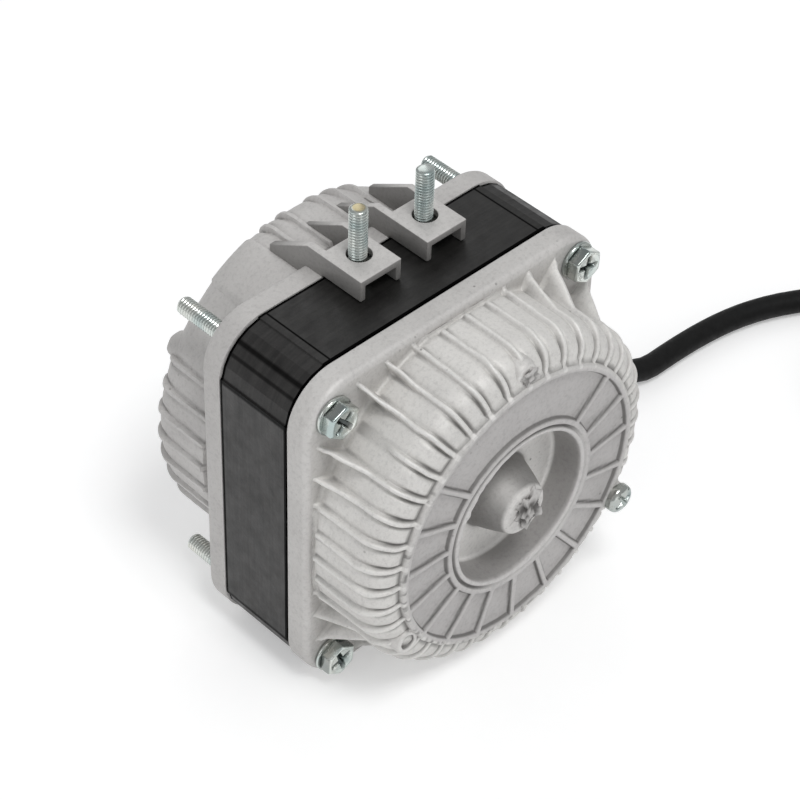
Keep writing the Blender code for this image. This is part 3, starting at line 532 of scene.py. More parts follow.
class Cover:
    """A cover's whole casting as one closed surface, made of rings of points about the motor's axis.

    The rings start inside the cover, go out to the flange and over the dome, and end in the middle of its
    face. side is -1 for the rear cover and 1 for the drive end. ribs are angles, and short ones only rise on
    the shoulder; fins makes those near the corners run out to the flange; panels are spans of angle at the
    ribs' height; a bored cover is open in the middle. Of the masks, the bright one is a painted highlight, slot is
    painted shade and face is milder painted shade, a little mauve.
    """

    def __init__(self, side, ribs, short=(), fins=False, panels=(), bored=False):
        self.side, self.fins, self.bored = side, fins, bored
        every = list(ribs) + list(short)
        pitch = (360.0 - 2.0 * POCKET_PANEL) / POCKET_COUNT
        self.webs = [90.0 + POCKET_PANEL + i * pitch for i in range(POCKET_COUNT + 1)]
        self.angles = cover_columns(every, self.webs)
        self.degrees = np.degrees(self.angles)
        self.count = len(self.angles)
        self.rib_count = len(every)
        centres = np.radians(np.array(every))
        gaps = np.angle(np.exp(1j * (self.angles[:, None] - centres[None, :])))
        self.nearest = np.argmin(np.abs(gaps), axis=1)
        self.off = gaps[np.arange(self.count), self.nearest]
        self.is_short = self.nearest >= len(ribs)
        self.rng = np.random.default_rng(7 if side < 0 else 11)
        self.height_change = self.rng.uniform(-0.10, 0.10, self.rib_count)[self.nearest]
        across = np.abs(np.cos(centres)) ** 5 + np.abs(np.sin(centres)) ** 5
        reach = np.maximum(39.6 / across ** 0.2, RIB_R) if fins else np.full(self.rib_count, RIB_R)
        self.tips = reach[self.nearest]
        self.on_panel = np.zeros(self.count)
        for low, high in panels:
            past = self.away((low + high) / 2.0) - math.radians((high - low) / 2.0)
            self.on_panel = np.maximum(self.on_panel, 1.0 - eased((past + 0.015) / 0.03))
        self.mid_gap = eased((np.abs(self.off) * 40.0 - 0.9) / 0.8)
        self.pads = self.rng.uniform(0.35, 1.0, DRAWS)[np.floor(self.degrees / 4.5).astype(int)]
        self.rows = []

    def away(self, angle):
        """How far each column is from an angle in degrees, in radians."""
        return np.abs(np.angle(np.exp(1j * (self.angles - math.radians(angle)))))

    def facing(self, angle):
        return np.cos(self.angles - math.radians(angle))

    def uneven(self, t, scale, seed):
        """Smooth unevenness over one ring."""
        return np.array([noise.noise(Vector((math.cos(a) * scale, math.sin(a) * scale, t * scale / 40.0 + seed)))
                         for a in self.angles])

    def rib_share(self, radius, place=0.0):
        """Share of the ribs' height at each column; the ribs wander a little along their length."""
        lean = [noise.noise(Vector((index * 3.7, place * 2.5, self.side))) for index in range(self.rib_count)]
        off = np.abs(self.off * radius + 0.22 * np.array(lean)[self.nearest])
        return 1.0 - eased((off - RIB_HALF) / RIB_HALF)

    def add(self, radius, t, painted_highlight=0.0, slot=0.0, face=0.0):
        """One ring of points; the drive end gets painted shade throughout and weaker painted highlights."""
        ones = np.ones(self.count)
        darkest, far_shade = (0.09, 0.55) if self.side > 0.0 else (0.0, 0.0)
        self.rows.append((radius * ones, t * ones, painted_highlight * ones * (1.0 - far_shade),
                          np.maximum(slot * ones, darkest), np.maximum(face * ones, far_shade)))

    def inside(self):
        """The bearing's seat and the room for the windings, out to the flange."""
        start = [(3.7, 35.0), (3.7, 26.4)] if self.bored else [(0.0, 26.4)]
        seat = [(6.35, 26.35), (6.35, 21.0), (8.6, 21.0), (8.6, 17.5), (10.2, 17.5), (10.2, 25.6)]
        room = [(20.4, 25.6), (20.6, 31.4), (31.0, 31.4), (34.7, 28.8), (35.9, 25.5), (36.3, FLANGE_IN)]
        for radius, t in start + seat + room:
            self.add(radius, t)
        self.add(square_radius(self.angles, 0.25), FLANGE_IN)

    def flange_rim(self):
        for t, inset in ((10.0, 0.06), (10.2, 0.0), (12.2, 0.0), (14.1, 0.0), (14.6, 0.09), (15.0, 0.30),
                         (15.3, 0.62), (15.5, 1.02), (15.58, 1.4)):
            uneven = 0.05 * self.uneven(t, 9.0, 3.0) * (t > 10.1)
            # A painted highlight on the rim's rounded edge, with light painted shade all round.
            self.add(square_radius(self.angles, inset) + uneven, t, painted_highlight=0.2 if 0.05 < inset < 1.3 else 0.0,
                     slot=0.05, face=0.4)

    def flange_face(self):
        """In from the rim to the foot of the dome, of its ribs and of its panels."""
        foot_share = self.rib_share(43.0) * (~self.is_short)
        foot = np.maximum(between(RIB_FOOT_R, self.tips, foot_share), between(RIB_FOOT_R, RIB_R, self.on_panel))
        edge = square_radius(self.angles, 1.9)
        foot = np.minimum(foot, edge - 0.5)
        # Painted shade on the flange's face, more towards the dome on the finned cover, and painted highlights at the
        # ribs' feet.
        for share in (0.0, 0.3, 0.6, 0.85):
            level = FLANGE_OUT - 0.02 + 0.04 * self.uneven(share * 9.0, 7.0, 5.0)
            slot = 0.06 + (0.10 * share if self.fins else 0.0)
            self.add(edge + (foot + 0.75 - edge) * share, level, slot=slot, face=0.3)
        for reach, rise in ((0.75, 0.0), (0.42, 0.10), (0.16, 0.34), (0.02, 0.80)):
            self.add(foot + reach, FLANGE_OUT + rise, painted_highlight=0.3 * foot_share, slot=0.12 if rise < 0.2 else 0.0)

    def barrel(self):
        """The dome's side, where the fins run in towards the ribs' own height."""
        for k in np.linspace(0.0, 1.0, 15)[1:]:
            base_t, crest_t = between(BARREL_T, SHOULDER_T, k), between(BARREL_T, CREST_T, k)
            base_r = 40.45 - 0.20 * k + 0.12 * self.mid_gap + 0.10 * self.uneven(base_t, 6.0, 1.0)
            fin = self.tips + (RIB_R - self.tips) * (crest_t - FLANGE_OUT) / (25.0 - FLANGE_OUT)
            crest_r = np.maximum(RIB_R, fin) + self.height_change * eased((crest_t - 17.0) / 4.0)
            share = self.rib_share(crest_r, k)
            share = np.where(self.is_short, share * eased((crest_t - 25.0) / 3.0), share)
            both = np.maximum(share, self.on_panel)
            # Painted shade between the ribs, deepest near the flange, and painted highlights on the ribs.
            dark = 0.16 + 0.34 * float(eased((0.45 - k) / 0.4))
            self.add(between(base_r, crest_r, both), between(base_t, crest_t, both), painted_highlight=0.3 + share * 0.3,
                     slot=dark * (1.0 - both) * (1.0 - self.mid_gap))

    def shoulder(self):
        """The rounded shoulder: the ribs follow it, and the metal between them rises in uneven pads."""
        for k in np.linspace(0.0, 1.0, 17)[1:]:
            a, b = math.radians(79.0 * k), math.radians(84.0 * k)
            base_r = 33.25 + 7.0 * math.cos(a) + 0.10 * self.uneven(27.0 + 8.0 * k, 6.0, 1.0)
            base_t = SHOULDER_T + 7.1 * math.sin(a)
            crest_r = 34.8 + self.height_change * (1.0 - k) + 6.4 * math.cos(b)
            crest_t = CREST_T + 6.4 * math.sin(b)
            share = self.rib_share(crest_r, 1.0 + k)
            lift = self.mid_gap * (0.20 + 0.35 * eased((k - 0.10) / 0.5) + 0.35 * self.pads * eased((k - 0.55) / 0.3))
            both = np.maximum(np.maximum(share, lift), self.on_panel)
            # Painted shade in the grooves beside the ribs, darker towards the ring, and painted highlights on the
            # ribs.
            dark = 0.2 + 0.8 * float(eased((k - 0.3) / 0.4))
            groove = (1.0 - np.maximum(share, self.on_panel)) * (1.0 - self.mid_gap) * dark
            self.add(between(base_r, crest_r, both), between(base_t, crest_t, both), painted_highlight=0.3 + share * 0.3,
                     slot=0.75 * groove)

    def ring(self):
        """The ring where the ribs end, with painted highlights on their ends and painted shade between them; the rear
        cover's is rough at its lower left, with patches of painted shade there.
        """
        at_top = eased((np.sin(self.angles) - 0.78) / 0.12)
        ending = self.rib_share(35.0, 2.0)
        rough_zone = eased((self.facing(205.0) + 0.1) / 0.5) * (self.side < 0.0)
        self.add(RING_R + 0.15, 34.6 + 0.3 * ending + 0.8 * at_top * (1.0 - ending),
                 slot=0.75 * (1.0 - ending) * (1.0 - 0.8 * at_top), painted_highlight=0.6 * ending)
        rough = 0.10 + 0.22 * rough_zone
        for radius, t in ((RING_R, 35.2), (RING_R - 0.08, 35.55), (RING_R - 0.32, 35.75), (RING_R - 0.6, FACE_T)):
            patchy = np.clip(1.8 * self.uneven(t, 26.0, 5.0) - 0.15, 0.0, 0.7) * rough_zone
            self.add(radius + rough * self.uneven(t, 16.0, 9.0), t + 0.7 * rough * self.uneven(t, 24.0, 2.0),
                     painted_highlight=0.3 + 0.4 * ending * np.maximum(at_top, rough_zone),
                     slot=np.maximum(0.10 * (1.0 - ending), patchy), face=0.3)

    def pockets(self):
        """A ring of pockets 1 mm deep, parted by webs; the wide one at the top has none."""
        outer = [(32.75, 0.0), (32.45, 0.0), (32.2, 0.35), (32.05, 0.85)]
        floor = [(radius, 1.0) for radius in (31.85, 31.0, 29.6, 27.8, 26.0, 24.4, 22.8, 21.7)]
        for radius, level in outer + floor + [(21.45, 0.85), (21.25, 0.35), (21.0, 0.0), (20.6, 0.0)]:
            away = np.min([self.away(web) for web in self.webs], axis=0) * radius
            web = 1.0 - eased((away - 0.50) / 0.55)
            deep = level * (1.0 - web)
            # Painted shade on the pockets' walls and floors, with painted highlights on the webs.
            edge_shade = np.clip(4.0 * web * (1.0 - web), 0.0, 1.0) * level
            rough = 0.06 * self.uneven(radius, 7.0, 2.0) + 0.05 * self.uneven(radius * 3.0, 19.0, 4.0)
            self.add(radius, FACE_T - deep + rough, painted_highlight=0.12 * web * (level > 0.5),
                     slot=0.9 * edge_shade + 0.7 * (0.2 < level < 0.9) * (1.0 - web) + 0.10 * deep, face=0.9)

    def recess(self):
        """A groove, the lip with the rear cover's burr, and the recess's wall and floor."""
        # Painted shade in the groove round the lip, deepest towards the upper left.
        grooved = 0.15 + 0.85 * eased((self.facing(140.0) + 0.45) / 0.5)
        for radius, sunk, dark in ((20.1, 0.0, 0.0), (19.95, 0.15, 0.4), (19.8, 0.65, 0.8), (19.35, 0.65, 0.8),
                                   (19.2, 0.2, 0.4)):
            self.add(radius + 0.05 * self.uneven(radius, 9.0, 6.0), FACE_T - sunk * grooved, slot=dark * grooved,
                     face=0.75)
        burr = BURR * np.exp(-((self.degrees - 150.0) / 40.0) ** 2) * (1.0 + 0.6 * self.uneven(0.0, 12.0, 6.0))
        burr = burr * (self.side < 0.0)
        # Radius, distance, painted shade and painted highlight of each ring: the wall is shaded, the floor painted
        # lighter.
        lip = ((19.05, FACE_T, 0.0, 0.4), (18.65, FACE_T, 0.0, 0.4), (18.35, 35.68, 0.0, 0.3),
               (18.2, 35.4, 0.15, 0.0))
        wall = ((18.15, 34.6, 0.42, 0.0), (18.0, 32.5, 0.46, 0.0), (17.85, 30.4, 0.46, 0.0), (17.75, 28.9, 0.42, 0.0),
                (17.65, 28.5, 0.1, 0.4))
        floor = ((17.35, 28.15, 0.0, 1.0), (16.9, 28.02, 0.0, 1.0), (16.3, 28.0, 0.0, 0.85), (14.5, 28.0, 0.0, 0.85),
                 (12.0, 28.0, 0.0, 0.85), (10.2, 28.02, 0.0, 0.8), (9.4, 28.12, 0.0, 0.4))
        for radius, t, dark, bright in lip + wall + floor:
            inward = burr * float(eased((19.2 - radius) / 0.7)) * (t > 34.0)
            self.add(radius - inward + 0.05 * self.uneven(t, 9.0, 6.0), t, slot=dark, face=0.75 if t > 28.6 else 0.1,
                     painted_highlight=bright)

    def middle(self):
        """The shaft's boss: bored at the drive end, a cone with a broken gate on the rear cover."""
        gate = self.rng.uniform(-1.0, 1.0, DRAWS)[np.arange(self.count) // 14]
        lit = np.exp(-((self.degrees - 128.0) / 26.0) ** 2)
        if self.bored:
            profile = ((8.85, 28.5, 0.0), (8.5, 29.2, 0.0), (8.1, 30.6, 0.0), (7.6, 33.0, 0.0), (7.2, 34.6, 0.0),
                       (6.8, 35.1, 0.0), (6.2, 35.2, 0.0), (4.4, 35.2, 0.0), (3.9, 35.1, 0.0), (3.7, 34.8, 0.0))
        else:
            profile = ((8.9, 28.4, 0.0), (8.6, 29.2, 0.0), (7.9, 31.4, 0.0), (7.1, 33.6, 0.0), (6.2, 35.8, 0.0),
                       (5.8, 36.6, 0.0), (5.3, 36.95, 0.1), (4.6, 37.05, 0.3), (3.7, 37.0, 0.5), (3.1, 36.9, 0.5),
                       (2.5, 36.8, 0.5), (1.2, 36.8, 0.3), (0.0, 36.8, 0.0))
        # Painted shade in the gate's hollows and on the cone's wall, less on the side where the light falls; a
        # painted highlight on the top of the rear cover's cone.
        for radius, t, rough in profile:
            jag = rough * (0.55 * self.uneven(radius * 8.0, 2.6, 4.0) + 0.22 * gate)
            climb = float(eased((t - 29.0) / 6.0))
            on_wall = (28.3 < t < 36.5) * (0.62 - 0.42 * lit * climb)
            self.add(radius, t + jag, face=0.35, slot=np.clip(-jag * 1.2, 0.0, 0.5) + on_wall,
                     painted_highlight=0.5 * (36.5 < t < 36.98))

    def finished(self):
        for stretch in (self.inside, self.flange_rim, self.flange_face, self.barrel, self.shoulder, self.ring,
                        self.pockets, self.recess, self.middle):
            stretch()
        radius, t, painted_highlight, slot, face = (np.concatenate(values) for values in zip(*self.rows))
        c, s = (np.tile(values, len(self.rows)) for values in (np.cos(self.angles), np.sin(self.angles)))
        points = np.stack([radius * c, self.side * t, radius * s], axis=1)
        masks = {key: np.clip(values, 0.0, 1.0) for key, values in (("painted_highlight", painted_highlight), ("slot", slot), ("face", face))}
        faces = grid_faces(len(self.rows), self.count, self.side < 0)
        if self.bored:
            last = (len(self.rows) - 1) * self.count
            faces += [(last + j, last + (j + 1) % self.count, (j + 1) % self.count, j) for j in range(self.count)]
        return edited(new_piece("skin", points, faces, masks), weld_on_axis)


def boss_place(angle):
    """Where a cast boss stands on the shoulder."""
    return BOSS_AT_R * math.cos(math.radians(angle)), BOSS_AT_R * math.sin(math.radians(angle))


def cast_knob(angle, side, top, seed, hole=True):
    """A small cast boss on the shoulder, with its cored hole or a rough closed end."""
    x, z = boss_place(angle)
    profile = [(0.0, 24.0), (KNOB_R + 0.5, 24.0), (KNOB_R + 0.25, 30.0), (KNOB_R + 0.1, top - 0.9),
               (KNOB_R - 0.1, top - 0.35), (KNOB_R - 0.45, top)]
    if hole:
        profile += [(1.95, top), (1.7, top - 0.3), (1.6, top - 5.0), (0.0, top - 5.2)]
    else:
        profile += [(1.6, top + 0.15), (0.8, top - 0.2), (0.0, top - 0.3)]
    knob = lathe("knob", [(r, side * t) for r, t in profile], 28, (x, 0.0, z), "Y", 0.16, seed)
    # Painted shade down the cored hole and a little on the boss's side; painted highlights, strongest on its end.
    shade_values, highlight_values = [], []
    for vertex in knob.data.vertices:
        away = math.hypot(vertex.co.x / MM - x, vertex.co.z / MM - AXIS_Z - z)
        deep = abs(vertex.co.y) / MM < top - 0.25
        shade_values.append((0.8 if away < 1.9 and hole else 0.12) if deep else 0.0)
        highlight_values.append(0.25 if deep else 0.5)
    set_mask(knob, "slot", shade_values)
    set_mask(knob, "painted_highlight", highlight_values)
    set_mask(knob, "face", [0.55 if side > 0.0 else 0.2] * len(shade_values))
    return knob


def lump(centre, size, seed, dark):
    """A rough broken stub of cast metal, with painted shade in the pits between its lumps."""
    sheet = bmesh.new()
    bmesh.ops.create_icosphere(sheet, subdivisions=4, radius=1.0)
    points, pits = [], []
    for vertex in sheet.verts:
        place = vertex.co
        lumps = noise.noise(place * 1.9 + Vector((seed, 1.0, 7.0)))
        fine = noise.noise(place * 4.5)
        radius = 1.0 + (0.45 + 0.30 * dark) * lumps + 0.30 * dark * fine
        points.append(tuple(c + s * radius * v for c, s, v in zip(centre, size, place)))
        pits.append(dark * min(0.95, max(0.12, 0.55 - 2.6 * (lumps + 0.4 * fine))))
    faces = [tuple(vertex.index for vertex in face.verts) for face in sheet.faces]
    sheet.free()
    masks = {"painted_highlight": [0.0] * len(pits), "slot": pits, "face": [0.6] * len(pits)}
    return new_piece("lump", points, faces, masks)


def make_rear_cover():
    ribs = [angle for angle in range(0, 360, 9) if angle % 90 != 45]
    parts = [Cover(-1.0, ribs, short=(45, 135, 225, 315), fins=True).finished(),
             cast_knob(90.0, -1.0, 34.7, 2.0, hole=False),
             cast_knob(210.0, -1.0, 35.2, 5.0),
             cast_knob(EARTH_ANGLE, -1.0, 35.4, 8.0),
             lump((0.3, -34.8, 35.6), (2.3, 1.0, 2.0), 5.0, 0.6),
             lump((0.8, -37.0, 0.1), (3.3, 1.5, 4.2), 3.0, 1.0)]
    piece = joined("rear_cover_cast", parts)
    piece.data.shade_smooth()
    return piece


def make_foot(centre):
    """A foot: a channel with a bored plate, and behind it two walls that run down to the dome."""
    half, wall, plate = 5.6, 1.4, 1.7
    top, front, back, base = 47.0, -1.3, 14.4, 41.8
    outline = [(front, base), (front, top), (back, top), (25.8, 40.4), (25.8, 37.6), (20.6, 36.0), (FLANGE_IN, 36.0),
               (FLANGE_IN, base)]
    foot = block("foot", outline, centre - half, centre + half, "X")
    under = [(front - 1.0, 40.0), (9.7, 40.0), (9.7, top - plate), (front - 1.0, top - plate)]
    behind = [(10.9, 41.2), (15.8, 40.9), (16.6, 38.6), (30.0, 38.0), (30.0, 50.0), (10.6, 50.0)]
    cut(foot, [block("channel", under, centre - half + wall, centre + half - wall, "X"),
               block("hollow", behind, centre - half + wall + 0.4, centre + half - wall - 0.2, "X"),
               rod(2.7, top - plate - 1.0, top + 1.0, 32, (centre + 0.4, FOOT_BOLT_Y, 0.0), "Z")])
    soften(foot, 0.26)
    # Painted shade in the hollow behind the plate and on the foot's sides below its top face.
    shade_values = []
    for x, y, z in (vertex.co / MM for vertex in foot.data.vertices):
        within = abs(x - centre) < half - wall + 0.3 and y > 10.4 and z - AXIS_Z < 46.6
        shade_values.append(0.74 if within else 0.64 if z - AXIS_Z < 46.8 else 0.0)
    set_mask(foot, "slot", shade_values)
    set_mask(foot, "face", [0.5] * len(shade_values))
    return foot


def make_drive_cover():
    ribs = [54, 70, 77, 84, 96, 103]
    for middle in (180, 270, 360):
        ribs += [(middle + 9 * step) % 360 for step in range(-3, 4)]
    parts = [Cover(1.0, ribs, panels=((109.0, 127.0),), bored=True).finished()]
    parts += [cast_knob(angle, 1.0, 35.3, angle) for angle in (30.0, 150.0, 270.0)]
    parts += [make_foot(centre) for centre in FOOT_X]
    spout = [(0.0, 24.0), (6.5, 24.0), (6.2, 39.8), (5.9, 40.3), (5.6, 40.5), (4.4, 40.5), (4.2, 40.2), (4.2, 30.0),
             (0.0, 30.0)]
    parts.append(lathe("spout", spout, 40, (0.0, CABLE_Y, CABLE_Z), "X"))
    return smooth_by_angle(joined("drive_end_cover_cast", parts), 40.0)


# Screws

def threaded(low, high, centre, axis, tip=0.8, warm=0.0):
    """A rolled thread from low to high; its end, at high, is rounded and may be yellowed."""
    per_turn, steps = 7, 36
    length = high - low
    rows = int(length / THREAD_PITCH * per_turn) + 1
    points, roots, warmth = [], [], []
    for i in range(rows + 1):
        along = length * i / rows
        taper = math.sqrt(max(0.0, 1.0 - max(0.0, (along - length + tip) / tip) ** 2))
        shrink = 1.0 - 0.42 * (1.0 - taper)
        for j, angle in enumerate(turns(steps)):
            ridge = 1.0 - abs(2.0 * ((along / THREAD_PITCH - j / steps) % 1.0) - 1.0)
            depth = 0.20 * (1.0 - min(1.0, ridge * 1.3)) * min(1.0, along / THREAD_PITCH)
            # Painted shade in the thread's roots.
            roots.append(1.6 * depth)
            warmth.append(warm if along > length - 0.05 else 0.0)
            r = (THREAD_R - depth) * shrink
            u, v = r * math.cos(angle), r * math.sin(angle)
            point = {"Y": (u, low + along, v), "Z": (u, v, low + along)}[axis]
            points.append(tuple(a + b for a, b in zip(centre, point)))
    faces = grid_faces(rows + 1, steps)
    faces += [tuple(range(steps)), tuple(range(rows * steps, (rows + 1) * steps))]
    return edited(new_piece("thread", points, faces, {"slot": roots, "warm": warmth}), face_outwards)


def in_cross(radius, angle, half, soft):
    """1 inside an arm of a cross recess of this half width, falling softly to 0 at its edge."""
    arm = abs((angle + math.pi / 4.0) % (math.pi / 2.0) - math.pi / 4.0)
    return max(0.0, min(1.0, (half - abs(radius * math.sin(arm))) / soft))


def screw_head(centre, seat, turn):
    """Hexagon head with a washer face and a cross recess, facing -y, turned by an angle in radians."""
    steps, hex_r, height, washer_r = 96, 4.15, 3.7, 4.4
    # Radius, height over the seat, how far it is a hexagon, and share of the cross recess.
    rings = [(washer_r - 0.1, 0.0, 0.0, 0), (washer_r, 0.15, 0.0, 0), (washer_r, 0.65, 0.0, 0),
             (washer_r - 0.15, 0.85, 0.0, 0), (hex_r * 0.965, 0.95, 1.0, 0), (hex_r, 1.15, 1.0, 0),
             (hex_r, height - 0.55, 1.0, 0), (hex_r * 0.985, height - 0.28, 1.0, 0),
             (hex_r * 0.90, height - 0.05, 0.75, 0), (hex_r * 0.80, height, 0.3, 0),
             (hex_r * 0.72, height - 0.06, 0.0, 0), (hex_r * 0.66, height - 0.22, 0.0, 0.2)]
    rings += [(hex_r * share, height - 0.26, 0.0, 1) for share in (0.58, 0.50, 0.42, 0.34, 0.26, 0.17, 0.08, 0.0)]
    points, shade_values = [], []
    for radius, rise, square, crossed in rings:
        for angle in turns(steps):
            six = (angle - turn) % (math.pi / 3.0) - math.pi / 6.0
            flat = math.cos(math.pi / 6.0) / math.cos(six)
            r = radius * (1.0 + (flat - 1.0) * square)
            # Painted shade in the cross recess and under the washer and hexagon, and every other flat darkened as a
            # painted reflection.
            within = in_cross(r, angle - turn - 0.35, 0.62, 0.22)
            sink = crossed * within * 1.5 * max(0.0, 1.0 - r / (hex_r * 0.70)) ** 0.45
            facet = int((angle - turn) / (math.pi / 3.0) % 6.0)
            side_dark = 0.55 * (facet % 2) if square == 1.0 else 0.0
            shade_values.append(min(0.95, 1.3 * sink + side_dark + (0.45 if rise < 0.3 or 0.84 < rise < 1.0 else 0.0)))
            points.append((centre[0] + r * math.cos(angle), seat - rise + sink, centre[1] + r * math.sin(angle)))
    masks = {"slot": shade_values, "warm": [0.0] * len(shade_values)}
    return edited(new_piece("head", points, grid_faces(len(rings), steps, True), masks), face_outwards)


def make_through_screw(index, x, z):
    seat = -FLANGE_OUT - 0.02
    parts = [screw_head((x, z), seat, 0.4 + 1.1 * index),
             rod(SHANK_R, seat - 0.5, 14.0, 24, (x, 0.0, z), "Y"),
             threaded(13.6, 28.85, (x, 0.0, z), "Y")]
    return smooth_by_angle(joined(f"through_screw_{index + 1}_look", parts), 38.0)


def make_foot_bolt(index, x):
    """A hexagon bolt that stands up through a foot; the first one's tip is yellowed."""
    low, high, under, head_r = 46.0, 59.0, 44.9, 3.9
    thread = threaded(low, high, (x, FOOT_BOLT_Y, 0.0), "Z", 0.55, 0.75 if index == 0 else 0.0)
    corners = [(x + head_r * math.cos(angle), FOOT_BOLT_Y + head_r * math.sin(angle))
               for angle in (math.radians(30 + 60 * k) for k in range(6))]
    head = block("head", corners, under - 2.8, under, "Z")
    soften(head, 0.25)
    shank = rod(SHANK_R, under - 0.2, low + 0.3, 24, (x, FOOT_BOLT_Y, 0.0), "Z")
    return smooth_by_angle(joined(f"foot_bolt_{index + 1}_look", [head, shank, thread]), 38.0)


def make_earth_screw():
    """A round-headed screw with a cross recess, in the boss at the lower right."""
    x, z = boss_place(EARTH_ANGLE)
    steps, seat = 72, 35.5
    rings = [(1.3, -4.0), (1.3, 0.0), (2.2, 0.02), (3.2, 0.05), (3.4, 0.25), (3.4, 1.35), (3.3, 1.75), (3.0, 2.15),
             (2.5, 2.45), (1.9, 2.62), (1.6, 2.66), (1.3, 2.69), (1.0, 2.71), (0.7, 2.72), (0.35, 2.73), (0.0, 2.73)]
    points = []
    for radius, rise in rings:
        for angle in turns(steps):
            within = in_cross(radius, angle - 0.5, 0.55, 0.2) if rise > 2.4 else 0.0
            sink = 1.1 * within * max(0.0, 1.0 - radius / 2.3) ** 0.5
            points.append((x + radius * math.cos(angle), -(seat + rise - sink), z + radius * math.sin(angle)))
    # Painted shade: the whole screw is darkened evenly.
    masks = {"slot": [0.35] * len(points), "warm": [0.0] * len(points)}
    piece = new_piece("earth_screw_look", points, grid_faces(len(rings), steps, True), masks)
    return smooth_by_angle(edited(piece, face_outwards), 40.0)


# Cable

def cable_points():
    """Centre line of the whole cable, in millimetres about the axis; its first part is the CAD route."""
    floor = FLOOR_Z + CABLE_R
    bend_x, end_x, end_y = 46.5, 87.5, 0.7
    points = [Vector((CABLE_EXIT_X, CABLE_Y, CABLE_Z)), Vector((bend_x, CABLE_Y, CABLE_Z))]
    for i in range(1, 15):
        share = i / 14.0
        ease = share * share * (3.0 - 2.0 * share)
        place = between(bend_x, end_x, share), between(CABLE_Y, end_y, ease), between(CABLE_Z, floor, ease)
        points.append(Vector(place))
    heading = 0.0
    for turn in (0.02, 0.04, 0.07, 0.10, 0.13, 0.13, 0.06, 0.05, 0.04, 0.02):
        for _ in range(2):
            heading -= turn / 2.0
            points.append(points[-1] + Vector((math.cos(heading), math.sin(heading), 0.0)) * 3.75)
    from_x, from_y = points[-1].x - COIL_CENTRE[0], points[-1].y - COIL_CENTRE[1]
    start, first_r = math.atan2(from_y, from_x), math.hypot(from_y, from_x)
    step, turn_in = 7.5, 5.8
    for k in range(1, int(720.0 / step) + 1):
        angle = k * step
        inward = turn_in * float(eased((angle - 270.0) / 90.0)) + turn_in * float(eased((angle - 630.0) / 90.0))
        radius = COIL_R + (first_r - COIL_R) * max(0.0, 1.0 - angle / 60.0) - inward
        a = start - math.radians(angle)
        points.append(Vector((COIL_CENTRE[0] + radius * math.cos(a), COIL_CENTRE[1] + radius * math.sin(a), floor)))
    return trimmed(points, CABLE_LENGTH)


def trimmed(points, length):
    """The first stretch of a line, exactly as long as asked."""
    kept = [points[0]]
    run = 0.0
    for before, after in zip(points, points[1:]):
        step = (after - before).length
        if run + step >= length:
            kept.append(before + (after - before) * ((length - run) / step))
            return kept
        kept.append(after)
        run += step
    return kept


def tube(name, points, radius, resolution=6):
    curve = bpy.data.curves.new(name, "CURVE")
    curve.dimensions = "3D"
    curve.bevel_depth = radius * MM
    curve.bevel_resolution = resolution
    curve.use_fill_caps = True
    line = curve.splines.new("POLY")
    line.points.add(len(points) - 1)
    for point, place in zip(line.points, points):
        point.co = (place.x * MM, place.y * MM, (place.z + AXIS_Z) * MM, 1.0)
    line.use_smooth = True
    return linked(name, curve)


def make_cable(materials):
    """The cable and its three bare cores, which spread out and bend in towards the coil's middle."""
    points = cable_points()
    cable = tube("cable_look", points, CABLE_R)
    ahead = (points[-1] - points[-2]).normalized()
    inward = Vector((-ahead.y, ahead.x, 0.0))
    if inward.dot(Vector((*COIL_CENTRE, 0.0)) - Vector((*points[-1].xy, 0.0))) < 0.0:
        inward = -inward
    for spread, name in enumerate(("brown", "blue", "green"), -1):
        line = []
        for k in range(9):
            run = 3.0 * k - 0.5
            sideways = spread * (1.15 + 0.05 * run) + 0.012 * run * run + spread * 0.004 * run * run
            height = FLOOR_Z + 1.1 + 1.8 * max(0.0, 1.0 - run / 12.0) ** 2
            line.append(Vector((*(points[-1] + ahead * run + inward * (sideways + 0.7)).xy, height)))
        core = tube(f"core_end_{name}_look", line, 1.1, 4)
        keep(core, materials, f"core_{name}", f"core_end_{name}")
    keep(cable, materials, "cable_rubber", "cable", "cable_coil")


def make_grommet():
    """A rubber sleeve round the cable, with a collar against the boss and four ribs that let it bend."""
    profile = [(3.2, 34.5), (3.9, 34.5), (3.9, 40.9), (5.5, 40.9), (5.6, 41.1), (5.6, 42.1), (5.4, 42.35),
               (4.6, 42.6)]
    for k in range(4):
        x = 42.9 + 0.9 * k
        profile += [(4.35 - 0.12 * k, x), (4.25 - 0.12 * k, x + 0.35), (3.75, x + 0.45), (3.75, x + 0.75)]
    profile += [(3.7, 46.4), (3.2, 46.5), (3.2, 34.5)]
    return smooth_by_angle(lathe("cable_grommet_look", profile, 40, (0.0, CABLE_Y, CABLE_Z), "X"), 40.0)


# Floor, light and the whole scene

def make_stage():
    """A pale floor that looks white to the camera and in reflections, and keeps the motor's shadow."""
    size, height = 3.0, -0.0003
    mesh = bpy.data.meshes.new("floor")
    mesh.from_pydata([(x, y, height) for x, y in ((-size, -size), (size, -size), (size, size), (-size, size))], [],
                     [(0, 1, 2, 3)])
    s = Shader("floor_look", (0.86, 0.86, 0.86), 0.9, 0.0, 0.1)
    rays = s.node("LightPath").outputs
    seen = s.maths("MAXIMUM", rays["Is Camera Ray"], rays["Is Glossy Ray"])
    seen = s.maths("MAXIMUM", seen, rays["Is Transmission Ray"])
    s.set("Emission Color", (1.0, 1.0, 1.0))
    s.set("Emission Strength", s.maths("MULTIPLY", seen, 0.32))
    mesh.materials.append(s.finish(s.ramp(s.noise(30.0, 2.0), [(0.3, 0.85), (0.7, 0.87)])))
    linked("floor", mesh)


# Name, place, energy and size.
LAMPS = (
    ("key", (-0.10, -0.50, 1.25), 6.5, 0.4),
    ("side", (-1.1, 0.15, 0.5), 1.0, 0.6),
    ("back", (0.5, 0.9, 0.9), 1.6, 0.7),
    ("fill", (-0.30, -1.10, 0.16), 0.6, 0.5),
)


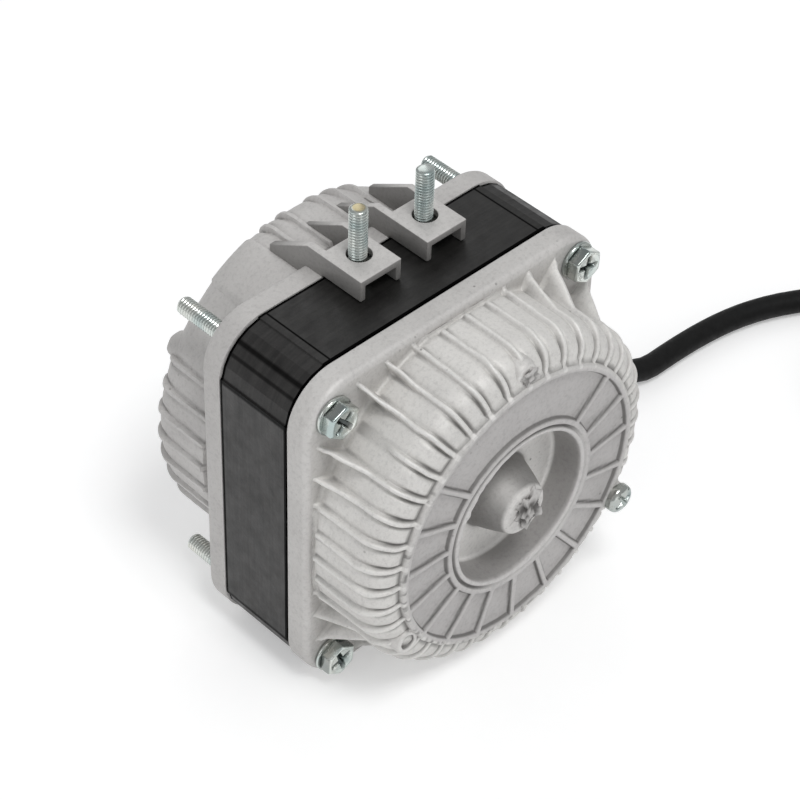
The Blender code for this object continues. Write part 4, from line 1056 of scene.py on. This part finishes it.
def make_light():
    """Four soft lamps, and a world that lights softly and looks white to the camera."""
    world = bpy.data.worlds.new("world")
    bpy.context.scene.world = world
    world.use_nodes = True
    tree = world.node_tree
    tree.nodes.clear()
    mix = tree.nodes.new("ShaderNodeMixShader")
    for index, colour, strength in ((1, (0.98, 0.99, 1.0, 1.0), 0.46), (2, (1.0, 1.0, 1.0, 1.0), 1.0)):
        sky = tree.nodes.new("ShaderNodeBackground")
        sky.inputs["Color"].default_value = colour
        sky.inputs["Strength"].default_value = strength
        tree.links.new(sky.outputs[0], mix.inputs[index])
    rays = tree.nodes.new("ShaderNodeLightPath").outputs
    seen = tree.nodes.new("ShaderNodeMath")
    seen.operation = "MAXIMUM"
    tree.links.new(rays["Is Camera Ray"], seen.inputs[0])
    tree.links.new(rays["Is Transmission Ray"], seen.inputs[1])
    tree.links.new(seen.outputs[0], mix.inputs[0])
    out = tree.nodes.new("ShaderNodeOutputWorld")
    tree.links.new(mix.outputs[0], out.inputs["Surface"])
    for name, place, energy, size in LAMPS:
        lamp = bpy.data.lights.new(name, "AREA")
        lamp.energy = energy
        lamp.size = size
        made = linked(name, lamp)
        made.location = place
        aim = Vector((0.0, 0.0, 0.05)) - Vector(place)
        made.rotation_mode = "QUATERNION"
        made.rotation_quaternion = aim.to_track_quat("-Z", "Y")


def keep(piece, materials, slot, *nodes):
    """Gives a piece its material and the motor's body, and hides the nodes that it stands for."""
    piece.data.materials.append(materials[slot])
    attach(piece, "motor")
    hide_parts(*nodes)


def main():
    bpy.context.scene.view_settings.view_transform = "Standard"
    set_camera()
    materials = all_materials()
    for part in frame["record"]["subparts"]:
        data = frame["nodes"][part["node"]].data
        data.materials.clear()
        data.materials.append(materials[part["material_slot"]])
    grommet = make_grommet()
    keep(grommet, materials, "cable_rubber", "cable_grommet")
    make_cable(materials)
    keep(make_rear_cover(), materials, "cast_aluminium", "rear_cover")
    keep(make_drive_cover(), materials, "cast_aluminium", "drive_end_cover")
    places = [(x, z) for x in (-SCREW_AT, SCREW_AT) for z in (SCREW_AT, -SCREW_AT)]
    for index, (x, z) in enumerate(places):
        keep(make_through_screw(index, x, z), materials, "zinc", f"through_screw_{index + 1}")
    for index, x in enumerate(FOOT_X):
        keep(make_foot_bolt(index, x), materials, "zinc", f"foot_bolt_{index + 1}")
    keep(make_earth_screw(), materials, "zinc", "earth_screw")
    make_stage()
    make_light()


main()
bpy.context.view_layer.update()
